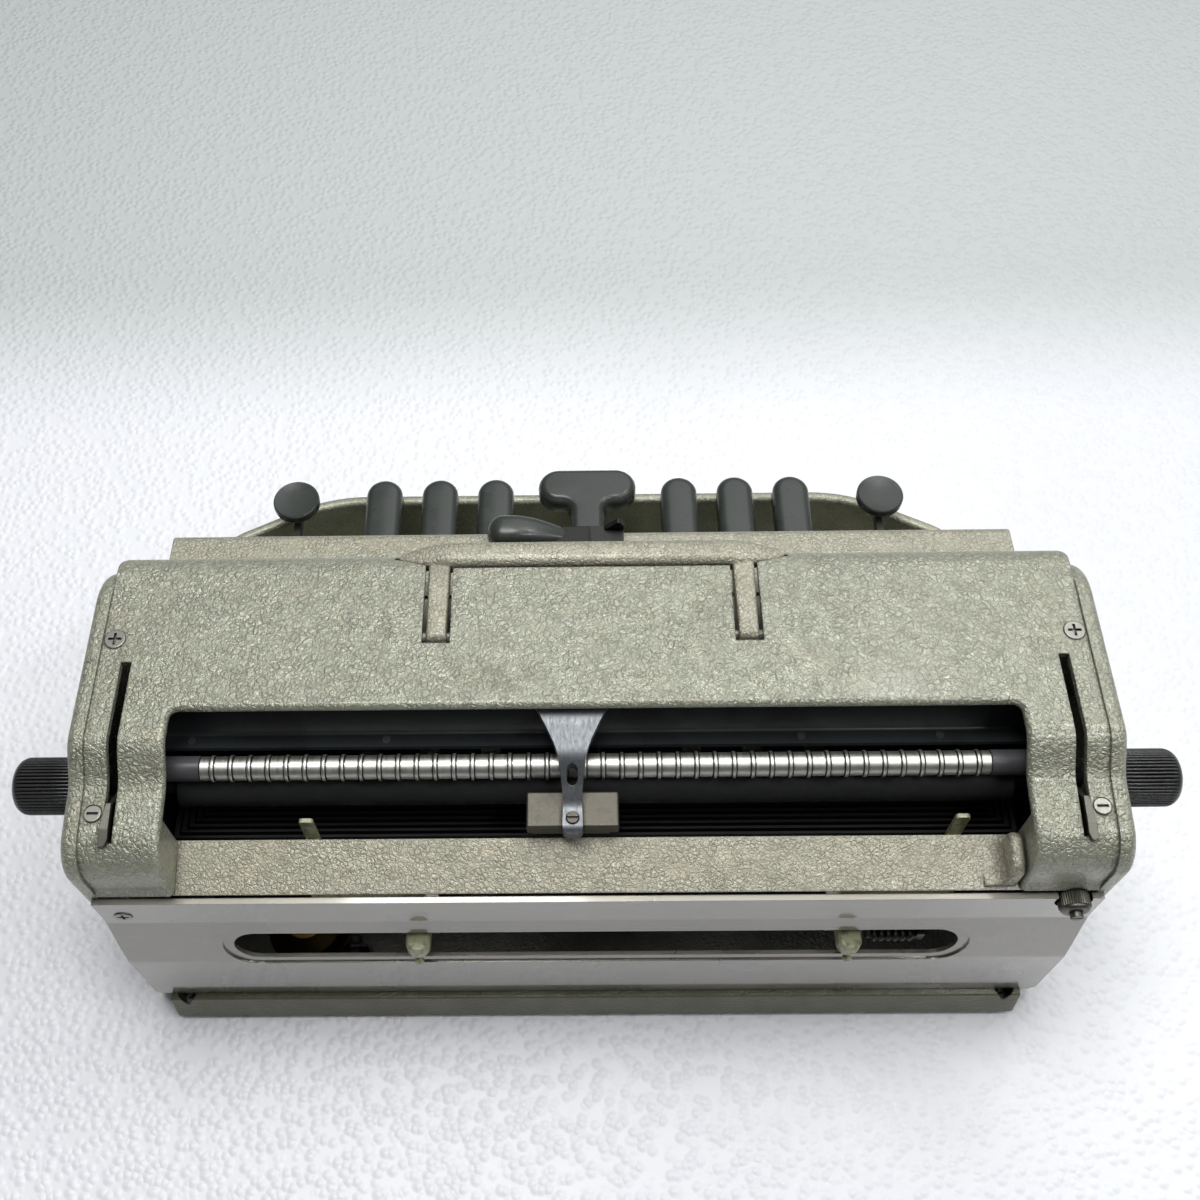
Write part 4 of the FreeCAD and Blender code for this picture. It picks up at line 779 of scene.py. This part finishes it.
def pivot_pin(side):
    """Plain pin through the end of an arm."""
    x = side * ARM_X + np.array([-PIN_HALF, -PIN_HALF, PIN_HALF, PIN_HALF])
    radius = np.broadcast_to(np.array([0.1, PIN_R, PIN_R, 0.1])[:, None], (4, 16))
    return skin(turned(x, radius, (PIVOT_Y, PIVOT_Z), np.linspace(0.0, 2 * math.pi, 16, endpoint=False)))


handle_skins = [handle_bar()] + [make(side) for make in (handle_arm, pivot_pin) for side in (1, -1)]
mesh_piece("lens_handle", "handle", fine_enamel, handle_skins, ["carrying_handle"])

# %% [markdown]
# ## Carriage grip
# The grip is a moulded teardrop, low and narrow at the carriage and full under the finger.

# %% Grip
BLUNT = 6.0                          # length of the rounded end
WIDEST = 0.72                        # share of the length where the grip is fullest
POINT = 0.06                         # share of the length over which the point opens


def teardrop_grip():
    """Rises and widens from the point as sine curves, then closes in a quarter circle."""
    low, high = corners_of("carriage_grip")
    x = low[0] + (high[0] - low[0]) * (1 - np.cos(np.linspace(0.0, math.pi, 41))) / 2
    share = (x - low[0]) / (high[0] - low[0])
    end = closing(x, high[0] - BLUNT, high[0], 0.99)
    start = np.sqrt(np.clip(share / POINT, 0.02, 1.0))
    swell = np.sin(np.clip(share / WIDEST, 0.0, 1.0) * math.pi / 2)
    half = (high[1] - low[1]) / 2 * (0.42 + 0.58 * swell) * end * start
    top = low[2] + (high[2] - low[2]) * (0.34 + 0.66 * swell) * (0.45 + 0.55 * end)
    return tapered_bar(x, np.full(len(x), (low[1] + high[1]) / 2), half, np.full(len(x), low[2]), top, 2.5)


grip_skins = [teardrop_grip()]
mesh_piece("teardrop_grip", "carriage_release", key_plastic, grip_skins, ["carriage_grip"])

# %% [markdown]
# ## The floor
# A white foam board lies under the machine.  In front of the keys it carries painted
# shade, a little greyer.

# %% Floor
FLOOR_REACH = 8.0
BEAD = 3.6 * MM
GREY_FROM = -0.18
GREY_FULL = -0.30


def floor_board():
    """White foam board: faint beads in relief, nearly even, with painted shade in front of the keys."""
    material, tree, shader, place = new_material("white_board")
    beads = cells(tree, place, BEAD, "F1").outputs["Distance"]
    raise_surface(tree, shader, step(tree, beads, 0.0, 0.75, 1.0, 0.0), 0.6 * MM, 0.9)
    cloud = patches(tree, place, 0.3, (0.3, 0.7))
    white = blended(tree, cloud, colour("e9eaee"), colour("f1f2f5"))
    # Painted shade: the board greys towards the front, from GREY_FROM to GREY_FULL.
    front_shade = step(tree, along_y(tree, place), GREY_FULL, GREY_FROM, 1.0, 0.0)
    tree.links.new(blended(tree, front_shade, white, colour("c6cbca")), shader.inputs["Base Color"])
    shader.inputs["Roughness"].default_value = 0.42
    signs = ((-1, -1), (1, -1), (1, 1), (-1, 1))
    mesh = bpy.data.meshes.new("floor")
    mesh.from_pydata([(FLOOR_REACH * x, FLOOR_REACH * y, 0) for x, y in signs], [], [(0, 1, 2, 3)])
    mesh.materials.append(material)
    board = bpy.data.objects.new("floor", mesh)
    bpy.context.scene.collection.objects.link(board)
    return board


floor = floor_board()
print("floor", floor.dimensions[:])

# %% [markdown]
# ## The light
# Most of the light falls from one broad lamp overhead.  A weaker lamp stands in front of
# the keys, one more at the typist's left, and two thin tubes, nearer and higher than that
# one, add narrow highlights.  The room itself is bright only above the keys, which leaves
# the rear panel darker than the top.

# %% Lamps
LAMPS = [
    # name, place, target, length, width, watts
    ("front", (-0.30, -0.90, 1.20), (0, 0, 0), 1.0, 1.0, 3.6),
    ("ceiling", (0.15, -0.12, 1.5), (0, 0, 0), 0.6, 0.6, 12.5),
    ("window", (-1.0, 0.05, 1.0), (-0.1, 0, 0.1), 0.35, 0.35, 1.6),
    ("tube_1", (-0.52, -0.35, 1.25), (-0.1, 0, 0.1), 0.5, 0.05, 2.4),
    ("tube_2", (-0.55, 0.35, 1.25), (-0.1, 0, 0.1), 0.5, 0.05, 2.4),
]


def lamp(name, place, target, length, width, power):
    """Soft rectangular lamp that faces a target."""
    light = bpy.data.lights.new(name, "AREA")
    light.shape = "RECTANGLE"
    light.size = length
    light.size_y = width
    light.energy = power
    fixture = bpy.data.objects.new(name, light)
    fixture.location = place
    fixture.rotation_euler = (Vector(target) - Vector(place)).to_track_quat("-Z", "Y").to_euler()
    bpy.context.scene.collection.objects.link(fixture)


def room():
    """Pale room, brightest above the keys and to the typist's left, dim behind the machine."""
    world = bpy.data.worlds.new("room")
    world.use_nodes = True
    tree = world.node_tree
    towards = put(tree, "ShaderNodeTexCoord").outputs["Generated"]
    lit = put(tree, "ShaderNodeVectorMath", {0: towards, 1: (-0.35, -0.50, 0.79)}, operation="DOT_PRODUCT")
    strength = step(tree, lit.outputs["Value"], 0.25, 1.0, 0.05, 0.50)
    tree.links.new(strength, tree.nodes["Background"].inputs["Strength"])
    tree.nodes["Background"].inputs["Color"].default_value = (0.92, 0.96, 1.0, 1.0)
    bpy.context.scene.world = world


room()
for settings in LAMPS:
    lamp(*settings)
bpy.context.scene.view_settings.view_transform = "Standard"
print(len(LAMPS), "lamps lit")
